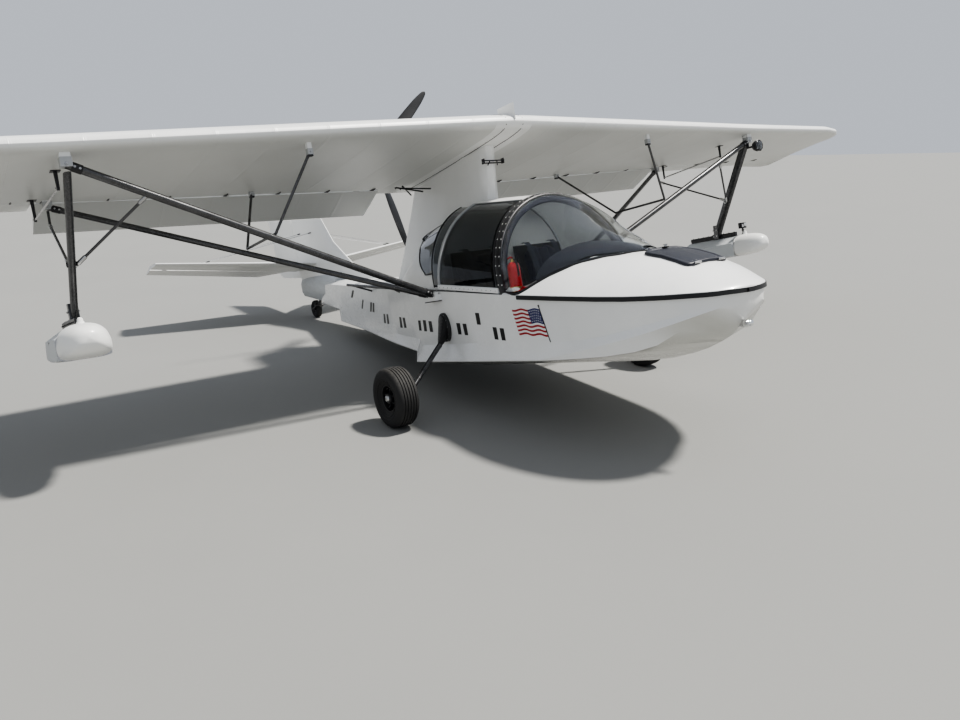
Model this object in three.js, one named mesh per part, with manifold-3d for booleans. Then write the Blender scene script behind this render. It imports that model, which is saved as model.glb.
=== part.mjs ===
// Two-seat amphibious flying boat, parked on its wheels.
// Lengths are millimetres. Aircraft axes: X to port, Y aft, Z up, station 0 at the main step,
// height 0 at the keel there. The whole aircraft is then pitched nose up onto its three wheels.

import * as THREE from 'three';
import { mergeVertices } from 'three/addons/utils/BufferGeometryUtils.js';
import Module from 'manifold-3d';

const wasm = await Module();
wasm.setup();

// Driving dimensions

const FIT = 0.3;
const PORT = 1;
const STARBOARD = -1;

const WALL = 16;
const DECK_SKIN = 8;
const COCKPIT_FRONT = -2300;
const COCKPIT_BACK = -415;
const MAIN_STEP_Y = 0;
const AFT_STEP_Y = 2090;

const ARCH_FOOT_Y = -1095;
const ARCH_FOOT_Z = 515;
const ARCH_LEAN = 0.24;
const ARCH_FRONT = -22;
const ARCH_DEPTH = 34;
const ARCH_SKIN = 16;
const CANOPY_HALF_WIDTH = 568;
const CANOPY_HEIGHT = 584;
const CANOPY_SKIN = 6;
const CANOPY_BACK_Y = -400;
const HATCH_BACK_Y = -368;
const SLIDE_SLOPE = 0.13;
const SILL_Z_AT_BACK = 604;
const ROOF_HALF_WIDTH = 165;

const WING_ROOT_X = 150;
const HINGE_KNUCKLE = 8;
const FLAP_INNER_X = 358;
const FLAP_OUTER_X = 2769;
const AILERON_INNER_X = 2781;
const AILERON_OUTER_X = 4450;
const HINGE_Y = 650;
const FLAP_CHORD = 346;
const FLAP_DROOP = THREE.MathUtils.degToRad(27);

const LIFT_STRUT_RADIUS = 22;
const FLOAT_X = 2776;

const WHEEL_X = 1110;
const WHEEL_Y = -529;
const WHEEL_Z = -18;
const TYRE_RADIUS = 192;
const TYRE_HALF_WIDTH = 75;
const RIM_RADIUS = 84;
const AXLE_RADIUS = 12;
const LEG_RADIUS = 15;

const TAIL_WHEEL_Y = 3095;
const TAIL_WHEEL_Z = 655;
const TAIL_TYRE_RADIUS = 92;
const TAIL_TYRE_HALF_WIDTH = 28;
const KINGPIN_Y = 2985;

const PROP_Y = 1280;
const PROP_Z = 1845;
const PROP_RADIUS = 860;
const PROP_FIRST_BLADE = THREE.MathUtils.degToRad(43.5);

// Materials

const paint = (color, roughness, metalness) => (
  new THREE.MeshStandardMaterial({ color, roughness, metalness })
);
const WHITE = paint(0xf1f1ec, 0.3, 0.0);
const FABRIC = paint(0xe9ebe6, 0.5, 0.0);
const BLACK = paint(0x141416, 0.5, 0.0);
const VINYL = paint(0x2a2d35, 0.7, 0.0);
const GLASS = paint(0x9aa6ab, 0.1, 0.0);
const STEEL = paint(0x6f7274, 0.35, 0.8);
const RUBBER = paint(0x3a3b3c, 0.85, 0.0);
const ENGINE = paint(0x77797c, 0.5, 0.6);

// Small geometry tools

const lerp = THREE.MathUtils.lerp;
const CAP_JITTER = 1e-5;

function interpolate(table, y) {
  const last = table[table.length - 1];
  if (y <= table[0][0]) return table[0];
  if (y >= last[0]) return last;
  const i = table.findIndex((row) => row[0] > y);
  const [low, high] = [table[i - 1], table[i]];
  const t = (y - low[0]) / (high[0] - low[0]);
  return low.map((value, k) => lerp(value, high[k], t));
}

// Slope of column k at each row, zero at a peak, so that a smooth curve keeps the table's extremes.
function slopes(table, k) {
  const secant = (i) => (table[i + 1][k] - table[i][k]) / (table[i + 1][0] - table[i][0]);
  const last = table.length - 1;
  return table.map((_, i) => {
    if (i === 0) return secant(0);
    if (i === last) return secant(last - 1);
    const [before, after] = [secant(i - 1), secant(i)];
    return before * after <= 0 ? 0 : (2 * before * after) / (before + after);
  });
}

function hermite(a, b, slopeA, slopeB, t) {
  const [t2, t3] = [t * t, t * t * t];
  return (2 * t3 - 3 * t2 + 1) * a + (t3 - 2 * t2 + t) * slopeA + (3 * t2 - 2 * t3) * b + (t3 - t2) * slopeB;
}

// The table with rows added on a smooth curve, about one step of its first column apart.
function smoothed(table, step) {
  const tangents = table[0].map((_, k) => slopes(table, k));
  const rows = [];
  table.slice(0, -1).forEach((low, i) => {
    const high = table[i + 1];
    const gap = high[0] - low[0];
    const parts = Math.max(1, Math.round(gap / step));
    for (let s = 0; s < parts; s += 1) {
      const t = s / parts;
      const at = (k) => hermite(low[k], high[k], tangents[k][i] * gap, tangents[k][i + 1] * gap, t);
      rows.push(low.map((value, k) => (k === 0 ? value + gap * t : at(k))));
    }
  });
  rows.push(table[table.length - 1]);
  return rows;
}

function ringNormal(ring) {
  const normal = new THREE.Vector3();
  ring.forEach(([ax, ay, az], i) => {
    const [bx, by, bz] = ring[(i + 1) % ring.length];
    normal.x += (ay - by) * (az + bz);
    normal.y += (az - bz) * (ax + bx);
    normal.z += (ax - bx) * (ay + by);
  });
  return normal;
}

function capTriangles(ring, offset) {
  const n = ringNormal(ring);
  const [x, y, z] = [Math.abs(n.x), Math.abs(n.y), Math.abs(n.z)];
  const drop = x > y && x > z ? 0 : y > z ? 1 : 2;
  const flat = ring.map((p) => new THREE.Vector2(p[(drop + 1) % 3], p[(drop + 2) % 3]));
  const middle = flat.reduce((sum, p) => sum.add(p), new THREE.Vector2()).divideScalar(flat.length);
  const uneven = flat.map((p, i) => p.clone().sub(middle).multiplyScalar(1 + CAP_JITTER * ((i * 7) % 5)));
  const faces = THREE.ShapeUtils.triangulateShape(uneven, []);
  const keep = !THREE.ShapeUtils.isClockWise(flat);
  return faces.map(([a, b, c]) => (keep ? [a, b, c] : [a, c, b]).map((i) => i + offset));
}

function signedVolume(points, faces) {
  let sum = 0;
  for (const [i, j, k] of faces) {
    const [a, b, c] = [points[i], points[j], points[k]];
    sum += a[0] * (b[1] * c[2] - b[2] * c[1]);
    sum += a[1] * (b[2] * c[0] - b[0] * c[2]);
    sum += a[2] * (b[0] * c[1] - b[1] * c[0]);
  }
  return sum / 6;
}

// A closed body through rings of equal length, with mirrored diagonals on the starboard side.
function loft(rings) {
  const count = rings[0].length;
  const points = rings.flat();
  const faces = [];
  for (let r = 0; r < rings.length - 1; r += 1) {
    for (let i = 0; i < count; i += 1) {
      const j = (i + 1) % count;
      const [a, b] = [r * count + i, r * count + j];
      const [c, d] = [a + count, b + count];
      const starboardSide = points[a][0] + points[b][0] < 0;
      if (starboardSide) faces.push([a, b, c], [b, d, c]);
      else faces.push([a, b, d], [a, d, c]);
    }
  }
  const first = capTriangles(rings[0], 0);
  const final = capTriangles(rings[rings.length - 1], (rings.length - 1) * count);
  faces.push(...first.map(([a, b, c]) => [a, c, b]), ...final);
  const outward = signedVolume(points, faces) > 0;
  const geometry = new THREE.BufferGeometry();
  geometry.setAttribute('position', new THREE.Float32BufferAttribute(points.flat(), 3));
  geometry.setIndex(faces.flatMap(([a, b, c]) => (outward ? [a, b, c] : [a, c, b])));
  return geometry;
}

function mirrored(geometry) {
  const copy = geometry.clone().scale(-1, 1, 1);
  const index = Array.from(copy.index.array);
  for (let i = 0; i < index.length; i += 3) [index[i], index[i + 1]] = [index[i + 1], index[i]];
  copy.setIndex(index);
  return copy;
}

// A stock three.js shape with its seams closed.
function sewn(geometry) {
  geometry.deleteAttribute('normal');
  geometry.deleteAttribute('uv');
  return mergeVertices(geometry, 0.001);
}

function toSolid(geometry) {
  const vertProperties = new Float32Array(geometry.attributes.position.array);
  const triVerts = new Uint32Array(geometry.index.array);
  return new wasm.Manifold(new wasm.Mesh({ numProp: 3, vertProperties, triVerts }));
}

function toGeometry(body) {
  const { vertProperties, triVerts, numProp } = body.getMesh();
  const positions = [];
  for (let i = 0; i < vertProperties.length; i += numProp) {
    positions.push(vertProperties[i], vertProperties[i + 1], vertProperties[i + 2]);
  }
  const geometry = new THREE.BufferGeometry();
  geometry.setAttribute('position', new THREE.Float32BufferAttribute(positions, 3));
  geometry.setIndex(Array.from(triVerts));
  return geometry;
}

const cut = (base, ...tools) => toGeometry(
  tools.reduce((body, tool) => body.subtract(toSolid(tool)), toSolid(base)),
);
const join = (...pieces) => toGeometry(pieces.map(toSolid).reduce((body, piece) => body.add(piece)));
const common = (a, b) => toGeometry(toSolid(a).intersect(toSolid(b)));

function box([x0, y0, z0], [x1, y1, z1]) {
  const geometry = sewn(new THREE.BoxGeometry(x1 - x0, y1 - y0, z1 - z0));
  return geometry.translate((x0 + x1) / 2, (y0 + y1) / 2, (z0 + z1) / 2);
}

// A round bar from one point to another.
function bar(from, to, radius, sides = 12) {
  const [a, b] = [new THREE.Vector3(...from), new THREE.Vector3(...to)];
  const along = b.clone().sub(a);
  const geometry = sewn(new THREE.CylinderGeometry(radius, radius, along.length(), sides));
  const turn = new THREE.Quaternion().setFromUnitVectors(new THREE.Vector3(0, 1, 0), along.normalize());
  geometry.applyQuaternion(turn);
  return geometry.translate((a.x + b.x) / 2, (a.y + b.y) / 2, (a.z + b.z) / 2);
}

// A plate with the given (y, z) or (x, y) outline.
function prism(outline, low, high, axis) {
  const at = (level) => ([u, v]) => (axis === 'x' ? [level, u, v] : [u, v, level]);
  const rings = [low, high].map((level) => outline.map(at(level)));
  return loft(rings);
}

function lathe(profile, segments) {
  const points = profile.map(([r, y]) => new THREE.Vector2(r, y));
  return sewn(new THREE.LatheGeometry(points, segments)).rotateZ(-Math.PI / 2);
}

const aircraft = new THREE.Group();

function place(name, geometry, material) {
  const mesh = new THREE.Mesh(geometry, material);
  mesh.name = name;
  aircraft.add(mesh);
  return mesh;
}

function placePair(name, portGeometry, material) {
  place(`${name}_left`, portGeometry, material);
  place(`${name}_right`, mirrored(portGeometry), material);
}

// Hull

// station y, keel z, spray rail x and z, chine x and z, knuckle x and z, sheer x and z, crown z
const FOREBODY = [
  [-2422, 356, 3, 358, 6, 359, 10, 361, 16, 366, 366],
  [-2418, 343, 5, 346, 14, 349, 27, 356, 53, 367, 367],
  [-2410, 322, 9, 327, 26, 333, 46, 342, 92, 368, 368],
  [-2398, 288, 20, 300, 42, 314, 66, 325, 129, 370, 370],
  [-2370, 225, 88, 263, 146, 291, 150, 306, 189, 371, 371],
  [-2340, 182, 150, 252, 205, 280, 204, 300, 237, 374, 374],
  [-2300, 147, 222, 250, 262, 267, 255, 291, 285, 379, 379],
  [-2262, 123, 296, 252, 304, 255, 294, 283, 321, 383, 383],
  [-2200, 94, 308, 196, 361, 238, 345, 272, 372, 389, 389],
  [-2100, 60, 383, 138, 430, 213, 411, 256, 435, 400, 400],
  [-2000, 37, 451, 117, 481, 194, 455, 239, 482, 411, 411],
  [-1850, 14, 521, 109, 538, 170, 512, 217, 533, 430, 430],
  [-1700, 3, 567, 109, 575, 149, 547, 208, 565, 449, 449],
  [-1550, 0, 593, 109, 596, 130, 568, 210, 582, 466, 466],
  [-1390, 0, 602, 108, 604, 114, 575, 216, 585, 483, 483],
  [ARCH_FOOT_Y, 0, 608, 112, 610, 118, 575, 226, 585, 514, 514],
  [COCKPIT_BACK, 0, 620, 122, 622, 128, 570, 236, 585, 596, 596],
  [MAIN_STEP_Y, 0, 620, 128, 622, 134, 562, 244, 560, 640, 676],
];
const MIDBODY = [
  [MAIN_STEP_Y + 1, 78, 602, 203, 604, 209, 562, 286, 560, 640, 676],
  [600, 180, 480, 275, 482, 282, 455, 345, 455, 690, 722],
  [1300, 305, 335, 378, 337, 384, 325, 435, 330, 760, 796],
  [AFT_STEP_Y, 450, 196, 490, 198, 496, 190, 530, 190, 838, 886],
];
const AFTERBODY = [
  [AFT_STEP_Y + 1, 565, 194, 604, 196, 610, 190, 630, 190, 838, 886],
  [2520, 645, 118, 668, 120, 674, 118, 700, 110, 868, 902],
  [2723, 690, 78, 706, 80, 712, 76, 740, 60, 836, 860],
  [2850, 722, 40, 732, 42, 738, 40, 752, 24, 776, 792],
];
const HULL_STEP = 110;
const HULL_STATIONS = [FOREBODY, MIDBODY, AFTERBODY].flatMap((table) => smoothed(table, HULL_STEP));
const STEM_Y = FOREBODY[0][0];

function hullRing(row, grow) {
  const [y, keel, c1x, c1z, c2x, c2z, nx, nz, sx, sz, crown] = row;
  const side = [[c1x + grow, c1z - grow], [c2x + grow, c2z], [nx + grow, nz], [sx + grow, sz + grow]];
  const shoulder = [sx * 0.62, lerp(sz, crown, 0.7) + grow];
  const half = [...side, shoulder];
  const port = half.map(([x, z]) => [x, y, z]);
  const starboard = half.map(([x, z]) => [-x, y, z]).reverse();
  return [[0, y, keel - grow], ...port, [0, y, crown + grow], ...starboard];
}

const hullOuter = (grow = 0) => loft(HULL_STATIONS.map((row) => hullRing(row, grow)));

// The space inside the hull, open above the gunwale.
function hullSpace(shrink = 0, front = COCKPIT_FRONT, back = COCKPIT_BACK) {
  const wall = WALL + shrink;
  const inside = HULL_STATIONS.map((row) => row[0]).filter((y) => y > front && y < back);
  const rings = [front, ...inside, back].map((y) => {
    const [, keel, c1x, c1z, c2x, c2z, nx, nz, sx, sz] = interpolate(HULL_STATIONS, y);
    const low = [[c1x - wall, c1z + wall], [c2x - wall, c2z + wall]];
    const high = [[nx - wall, nz], [sx - wall, sz], [sx - wall, sz + 200]];
    const half = [...low, ...high];
    const port = half.map(([x, z]) => [x, y, z]);
    const starboard = half.map(([x, z]) => [-x, y, z]).reverse();
    return [[0, y, keel + wall], ...port, ...starboard];
  });
  return loft(rings);
}

const STRUT_FITTING = { low: [548, -400, 540], high: [628, -262, 580] };
const STRUT_LUG = { low: [600, -396, 560], high: [628, -266, 598] };
const fittingBlock = (grow) => join(...[STRUT_FITTING, STRUT_LUG].map(({ low, high }) => box(
  low.map((value) => value - grow),
  high.map((value) => value + grow),
)));

// Foredeck

// station y, crown z on the centre line
const DECK_CROWN = smoothed([
  [STEM_Y, 372], [-2398, 393], [-2335, 428], [-2262, 474], [-2190, 518], [-2100, 556], [-2000, 592],
  [-1862, 628], [-1770, 638], [-1700, 645], [-1620, 661], [-1540, 678], [-1430, 687], [ARCH_FOOT_Y, 690],
], 60);
const CROWN_POWER = 2.4;
const DECK_EDGE = 3;
const DECK_STEPS = [-1, -0.97, -0.9, -0.78, -0.6, -0.4, -0.2, 0, 0.2, 0.4, 0.6, 0.78, 0.9, 0.97, 1];

function deckRing(y, grow, base) {
  const row = interpolate(HULL_STATIONS, y);
  const [beam, sheer] = [row[8] + grow, row[9]];
  const crown = interpolate(DECK_CROWN, y)[1] + grow;
  const height = (t) => lerp(sheer, crown, 1 - Math.abs(t) ** CROWN_POWER) + DECK_EDGE;
  const arc = DECK_STEPS.map((t) => [t * beam, y, height(t)]);
  return [...arc, [beam, y, sheer + base], [-beam, y, sheer + base]];
}

function deckBlock(grow, base, front = STEM_Y, back = ARCH_FOOT_Y) {
  const inner = HULL_STATIONS.map((row) => row[0]).filter((y) => y > front && y < back);
  return loft([front, ...inner, back].map((y) => deckRing(y, grow, base)));
}

// windscreen hoops from the arch forward: half width, foot y and z, top y and z
const WINDSCREEN_HOOPS = [
  [568, -1119, 513, -975, 1113],
  [576, -1250, 508, -1010, 1090],
  [478, -1368, 566, -1062, 1042],
  [380, -1475, 612, -1155, 972],
  [262, -1605, 638, -1310, 875],
  [130, -1728, 640, -1524, 766],
  [40, -1802, 642, -1776, 657],
];
const BOW_LID = { halfWidth: 168, front: -2190, back: -1862, skin: 12 };

function cockpitOpening() {
  const lip = 42;
  const side = WINDSCREEN_HOOPS.slice(0, 6).map(([w, y]) => [w - lip, y + lip * 0.6]);
  side[0][1] = ARCH_FOOT_Y + 50;
  const other = side.map(([x, y]) => [-x, y]).reverse();
  return prism([...side, ...other], 300, 900, 'z');
}

function buildHull() {
  const shell = cut(hullOuter(), hullSpace());
  const fittings = [fittingBlock(0), mirrored(fittingBlock(0))];
  const space = hullSpace();
  place('hull', cut(join(shell, ...fittings), space, tailCone(FIT)), WHITE);
}

function buildForedeck() {
  const shell = cut(deckBlock(0, FIT), deckBlock(-DECK_SKIN, -60, STEM_Y + 30, ARCH_FOOT_Y + 30));
  const lip = 18;
  const lidHole = box(
    [lip - BOW_LID.halfWidth, BOW_LID.front + lip, 300],
    [BOW_LID.halfWidth - lip, BOW_LID.back - lip, 900],
  );
  place('foredeck', cut(shell, cockpitOpening(), lidHole), WHITE);
}

const LID_HINGE_Y = BOW_LID.front - 4;
const LID_HINGE_Z = 528;

// The deck as the lid meets it when the lid has swung up by this angle.
function deckSeenByLid(angle, grow) {
  const deck = deckBlock(grow, -30, -2260, -1700).translate(0, -LID_HINGE_Y, -LID_HINGE_Z);
  return deck.rotateX(-THREE.MathUtils.degToRad(angle)).translate(0, LID_HINGE_Y, LID_HINGE_Z);
}

function buildBowHatch() {
  const low = 0.7;
  const skin = cut(deckBlock(low + BOW_LID.skin, -30), deckBlock(low, -60));
  const frame = box([-BOW_LID.halfWidth, BOW_LID.front, 300], [BOW_LID.halfWidth, BOW_LID.back, 900]);
  const lid = common(skin, frame);
  const knuckle = (x) => bar([x - 20, LID_HINGE_Y, LID_HINGE_Z], [x + 20, LID_HINGE_Y, LID_HINGE_Z], 7);
  const knuckles = [-70, 70].map(knuckle);
  const swings = [0, 3, 6, 10, 14, 18, 23, 29, 36, 45].map((angle) => deckSeenByLid(angle, low));
  place('bow_hatch', cut(join(lid, ...knuckles), ...swings), BLACK);
}

function buildRubRail() {
  const [proud, tall] = [8, 24];
  const rows = HULL_STATIONS.filter((row) => row[0] <= ARCH_FOOT_Y);
  const ends = [[STEM_Y - proud, ...rows[0].slice(1)], ...rows];
  const rings = ends.map(([y, , , , , , , , sx, sz]) => {
    const x = sx + proud;
    return [[x, y, sz - tall], [x, y, sz], [-x, y, sz], [-x, y, sz - tall]];
  });
  const back = box([-700, -1240, 0], [700, -900, 900]);
  const ahead = hullOuter(FIT).translate(0, -FIT, 0);
  place('rub_rail', cut(loft(rings), hullOuter(FIT), ahead, back), BLACK);
}

// Canopy: every longitudinal line runs parallel to the slide rails.

const sillZ = (y) => SILL_Z_AT_BACK + SLIDE_SLOPE * (y - CANOPY_BACK_Y);

function canopyPoint(angle, y, inset) {
  const x = (CANOPY_HALF_WIDTH - inset) * Math.cos(angle);
  const z = sillZ(y) + (CANOPY_HEIGHT - inset) * Math.sin(angle);
  return [x, y, z];
}

// Where the canopy's line at this angle meets the leaning arch plane, moved aft by a gap.
function archPoint(angle, inset, gap) {
  const rise = (CANOPY_HEIGHT - inset) * Math.sin(angle);
  const level = SILL_Z_AT_BACK - SLIDE_SLOPE * CANOPY_BACK_Y + rise - ARCH_FOOT_Z;
  const y = (ARCH_FOOT_Y + gap + ARCH_LEAN * level) / (1 - ARCH_LEAN * SLIDE_SLOPE);
  return canopyPoint(angle, y, inset);
}

function angles(from, to, steps) {
  return Array.from({ length: steps + 1 }, (_, i) => lerp(from, to, i / steps));
}

function canopyShell(from, to, steps, gap, back, outset = 0) {
  const list = angles(from, to, steps);
  const front = [
    ...list.map((a) => archPoint(a, -outset, gap)),
    ...list.slice().reverse().map((a) => archPoint(a, CANOPY_SKIN - outset, gap)),
  ];
  const rear = [
    ...list.map((a) => canopyPoint(a, back, -outset)),
    ...list.slice().reverse().map((a) => canopyPoint(a, back, CANOPY_SKIN - outset)),
  ];
  return loft([front, rear]);
}

const HATCH_LOW_ANGLE = 0;
const HATCH_TOP_ANGLE = Math.acos((ROOF_HALF_WIDTH + 12) / CANOPY_HALF_WIDTH);
const ROOF_LOW_ANGLE = Math.acos(ROOF_HALF_WIDTH / CANOPY_HALF_WIDTH);

function buildWindscreen() {
  const steps = angles(-0.12, Math.PI + 0.12, 16);
  const skin = 5;
  const between = (a, b, t) => a.map((value, k) => lerp(value, b[k], t));
  const ring = (inset) => ([w, footY, footZ, topY, topZ]) => steps.map((a) => {
    const rise = Math.sin(a) * (1 - inset / (topZ - footZ));
    return [(w - inset) * Math.cos(a), lerp(footY, topY, rise), lerp(footZ, topZ, rise)];
  });
  const [first, second] = WINDSCREEN_HOOPS;
  const [last, beforeLast] = [...WINDSCREEN_HOOPS].reverse();
  const ends = [between(first, second, -0.1), between(beforeLast, last, 0.8)];
  const hollow = [ends[0], ...WINDSCREEN_HOOPS.slice(1, -1), ends[1]];
  const bowl = cut(loft(WINDSCREEN_HOOPS.map(ring(0))), loft(hollow.map(ring(skin))));
  place('windscreen', cut(bowl, deckBlock(FIT, -120), hullOuter(FIT)), GLASS);
}

function buildArch() {
  const list = angles(0, Math.PI, 20);
  const at = (gap, inset) => list.map((a) => archPoint(a, inset, gap));
  const ring = (gap) => [...at(gap, -4), ...at(gap, ARCH_SKIN - 4).reverse()];
  const hoop = loft([ring(ARCH_FRONT), ring(1 + ARCH_DEPTH)]);
  const rails = [slideRail(FIT), mirrored(slideRail(FIT))];
  place('windscreen_arch', cut(hoop, deckBlock(FIT, -120), hullOuter(FIT), ...rails), BLACK);
}

const RAIL_RADIUS = 11;
const RAIL_DROP = RAIL_RADIUS + 0.5;
const RAIL_FRONT_Y = -1040;
const RAIL_BACK_Y = 1050;

function slideRail(grow) {
  const x = CANOPY_HALF_WIDTH - CANOPY_SKIN / 2;
  const end = (y) => [x, y, sillZ(y) - RAIL_DROP];
  return bar(end(RAIL_FRONT_Y), end(RAIL_BACK_Y), RAIL_RADIUS + grow, 10);
}

function buildSlideRails() {
  const x = CANOPY_HALF_WIDTH - CANOPY_SKIN / 2;
  const arm = (y) => {
    const [hullX, hullZ] = [interpolate(HULL_STATIONS, y)[8], interpolate(HULL_STATIONS, y)[9]];
    return bar([hullX - 40, y, hullZ - 40], [x, y, sillZ(y) - RAIL_DROP], 8, 8);
  };
  const rail = join(slideRail(0), arm(300), arm(980));
  placePair('slide_rail', cut(rail, hullOuter(FIT)), STEEL);
}

function buildHatches() {
  const shell = canopyShell(HATCH_LOW_ANGLE, HATCH_TOP_ANGLE, 12, ARCH_DEPTH + 8, HATCH_BACK_Y);
  placePair('canopy_hatch', cut(shell, slideRail(FIT)), GLASS);
}

function buildRoof() {
  const strip = canopyShell(ROOF_LOW_ANGLE, Math.PI - ROOF_LOW_ANGLE, 6, ARCH_DEPTH + 1.4, HATCH_BACK_Y);
  place('canopy_roof', cut(strip, pylonBlock(FIT)), WHITE);
}

// rear fairing stations: y, half width, height above the sill line
const FAIRING_STATIONS = [
  [CANOPY_BACK_Y, 545, 560], [-200, 540, 545], [50, 515, 455], [300, 440, 320],
  [550, 320, 200], [780, 200, 115], [900, 150, 60],
];

function fairingBlock() {
  const steps = angles(0, Math.PI, 16);
  const rings = FAIRING_STATIONS.map(([y, w, h]) => {
    const base = interpolate(HULL_STATIONS, y)[9] - 60;
    const top = Math.max(sillZ(y) + h - base, 80);
    return steps.map((a) => [w * Math.cos(a), y, base + top * Math.sin(a) ** 0.8]);
  });
  return loft(rings);
}

// pylon levels: z, leading edge y, trailing edge y, half thickness
const PYLON_LEVELS = [
  [600, -340, 1310, 210],
  [800, -350, 1175, 190],
  [1000, -370, 1012, 140],
  [1180, -380, 880, 95],
  [1300, -400, 792, 78],
  [1560, -430, 620, 72],
];
const PYLON_SECTION = [[0, 0], [0.02, 0.5], [0.08, 0.85], [0.25, 1], [0.5, 0.85], [0.8, 0.4], [1, 0.03]];

function pylonBlock(grow) {
  const rings = PYLON_LEVELS.map(([z, front, back, half]) => {
    const chord = back - front + 2 * grow;
    const side = PYLON_SECTION.slice(1).map(([f, t]) => [half * t + grow, front - grow + f * chord]);
    const port = side.map(([x, y]) => [x, y, z]);
    const starboard = side.map(([x, y]) => [-x, y, z]).reverse();
    return [[0, front - grow, z], ...port, ...starboard];
  });
  return loft(rings);
}

function buildPylon() {
  place('pylon', cut(pylonBlock(0), hullOuter(FIT), wingCentre(FIT), roofClearance()), WHITE);
  place('rear_fairing', cut(fairingBlock(), hullOuter(FIT), pylonBlock(FIT)), WHITE);
}

const roofClearance = () => box([-700, -900, 900], [700, CANOPY_BACK_Y, 1200]);

// Wing

// station x, nose y and z, tail y and z, thickness factor
const WING_STATIONS = [
  [-WING_ROOT_X, -732, 1646, 1000, 1455, 1],
  [0, -738, 1648, 1000, 1452, 1],
  [WING_ROOT_X, -732, 1646, 1000, 1455, 1],
  [1420, -662, 1624, 996, 1492, 0.97],
  [2775, -588, 1600, 990, 1526, 0.92],
  [4000, -515, 1592, 985, 1549, 0.84],
  [4250, -435, 1594, 980, 1548, 0.78],
  [4450, -315, 1598, 960, 1543, 0.68],
  [4590, -200, 1604, 880, 1515, 0.54],
  [4670, -80, 1609, 780, 1490, 0.38],
  [4698, 40, 1613, 680, 1488, 0.2],
];
const UPPER = [
  [0, 0], [0.003, 0.011], [0.009, 0.0195], [0.02, 0.0265], [0.04, 0.036], [0.08, 0.051], [0.14, 0.068],
  [0.22, 0.082], [0.32, 0.0885], [0.42, 0.087], [0.55, 0.074], [0.7, 0.053], [0.85, 0.028], [1, 0.003],
];
const LOWER = [
  [0.003, -0.01], [0.01, -0.0175], [0.022, -0.0235], [0.045, -0.0275], [0.1, -0.031], [0.25, -0.031],
  [0.45, -0.028], [0.7, -0.021], [1, -0.003],
];

function wingRing([x, noseY, noseZ, tailY, tailZ, thick], grow) {
  const chord = tailY - noseY;
  const at = ([f, t]) => [
    x,
    lerp(noseY, tailY, f) + (f < 0.001 ? -grow : 0),
    lerp(noseZ, tailZ, f) + t * chord * thick + Math.sign(t) * grow,
  ];
  return [...UPPER.map(at), ...LOWER.slice().reverse().map(at)];
}

function wingCentre(grow) {
  const edge = WING_ROOT_X - FIT;
  const half = wingRing(WING_STATIONS[2], grow);
  const end = (x) => half.map(([, y, z]) => [x, y, z]);
  return loft([end(-edge), wingRing(WING_STATIONS[1], grow), end(edge)]);
}

const CENTRE_CUT_Y = 780;
const centreCut = () => box([-FLAP_INNER_X + 8, CENTRE_CUT_Y, 1200], [FLAP_INNER_X - 8, 1200, 1900]);

// hinge line ends in (x, y, z), inboard first
const FLAP_HINGE = [[FLAP_INNER_X, HINGE_Y, 1477], [FLAP_OUTER_X, HINGE_Y, 1528]];
const AILERON_HINGE = [[AILERON_INNER_X, HINGE_Y, 1529], [AILERON_OUTER_X, HINGE_Y, 1550]];

// Space behind a hinge line, clear of the surface that swings there.
function hingeBay([a, b], margin) {
  const [low, high] = [a[2] - 300, b[2] + 300];
  const y = HINGE_Y - HINGE_KNUCKLE - FIT;
  return box([a[0] - margin, y, low], [b[0] + margin, 1300, high]);
}

// A control surface hung on a hinge line: depth at the hinge, chord at each end.
function surface([a, b], depth, chords, droop, margin) {
  const along = new THREE.Vector3(b[0] - a[0], b[1] - a[1], b[2] - a[2]);
  const span = along.length();
  const gap = HINGE_KNUCKLE + 1;
  const section = (chord) => [
    [gap, -9], [gap, depth * 0.4], [gap + 14, depth], [chord * 0.5, depth * 0.62],
    [chord, 7], [chord, 1], [chord * 0.5, -8],
  ];
  const rings = [margin, span - margin].map((s, i) => section(chords[i]).map(([v, w]) => [s, v, w]));
  const knuckles = [0.08, 0.5, 0.92].map((f) => join(
    bar([f * span - 22, 0, 0], [f * span + 22, 0, 0], HINGE_KNUCKLE, 10),
    box([f * span - 22, 0, -4], [f * span + 22, gap + 6, 4]),
  ));
  const body = join(loft(rings), ...knuckles);
  const frame = new THREE.Matrix4().makeBasis(
    along.clone().normalize(),
    new THREE.Vector3(0, 1, 0),
    new THREE.Vector3().crossVectors(along.clone().normalize(), new THREE.Vector3(0, 1, 0)),
  );
  return body.rotateX(-droop).applyMatrix4(frame).translate(...a);
}

const FRONT_TOP = [2728, -512, 1504];
const REAR_TOP = [2707, 567, 1475];
const JURY_FRONT_TOP = [1425, -560, 1517];
const JURY_REAR_TOP = [1413, 560, 1482];
const bracketBox = ([x, y, z], half, up, grow) => box(
  [x - half - grow, y - half - grow, z - 12 - grow],
  [x + half + grow, y + half + grow, z + up],
);
const wingBrackets = (grow) => [
  bracketBox(FRONT_TOP, 26, 90, grow),
  bracketBox(REAR_TOP, 24, 100, grow),
  bracketBox(JURY_FRONT_TOP, 14, 80, grow),
  bracketBox(JURY_REAR_TOP, 14, 60, grow),
];

function buildWing() {
  const rings = WING_STATIONS.slice(2).map((row) => wingRing(row, 0));
  const bays = [hingeBay(FLAP_HINGE, 6), hingeBay(AILERON_HINGE, 6)];
  const panel = cut(loft(rings), ...bays, centreCut());
  placePair('wing', join(panel, ...wingBrackets(0)), FABRIC);
  place('wing_centre', cut(wingCentre(0), centreCut()), WHITE);
  const flap = surface(FLAP_HINGE, 52, [FLAP_CHORD, FLAP_CHORD], FLAP_DROOP, 2);
  placePair('flap', flap, FABRIC);
  placePair('aileron', surface(AILERON_HINGE, 46, [340, 300], 0, 2), FABRIC);
}

// Struts

const FRONT_FOOT = [608, -357, 580];
const REAR_FOOT = [608, -302, 580];

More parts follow.
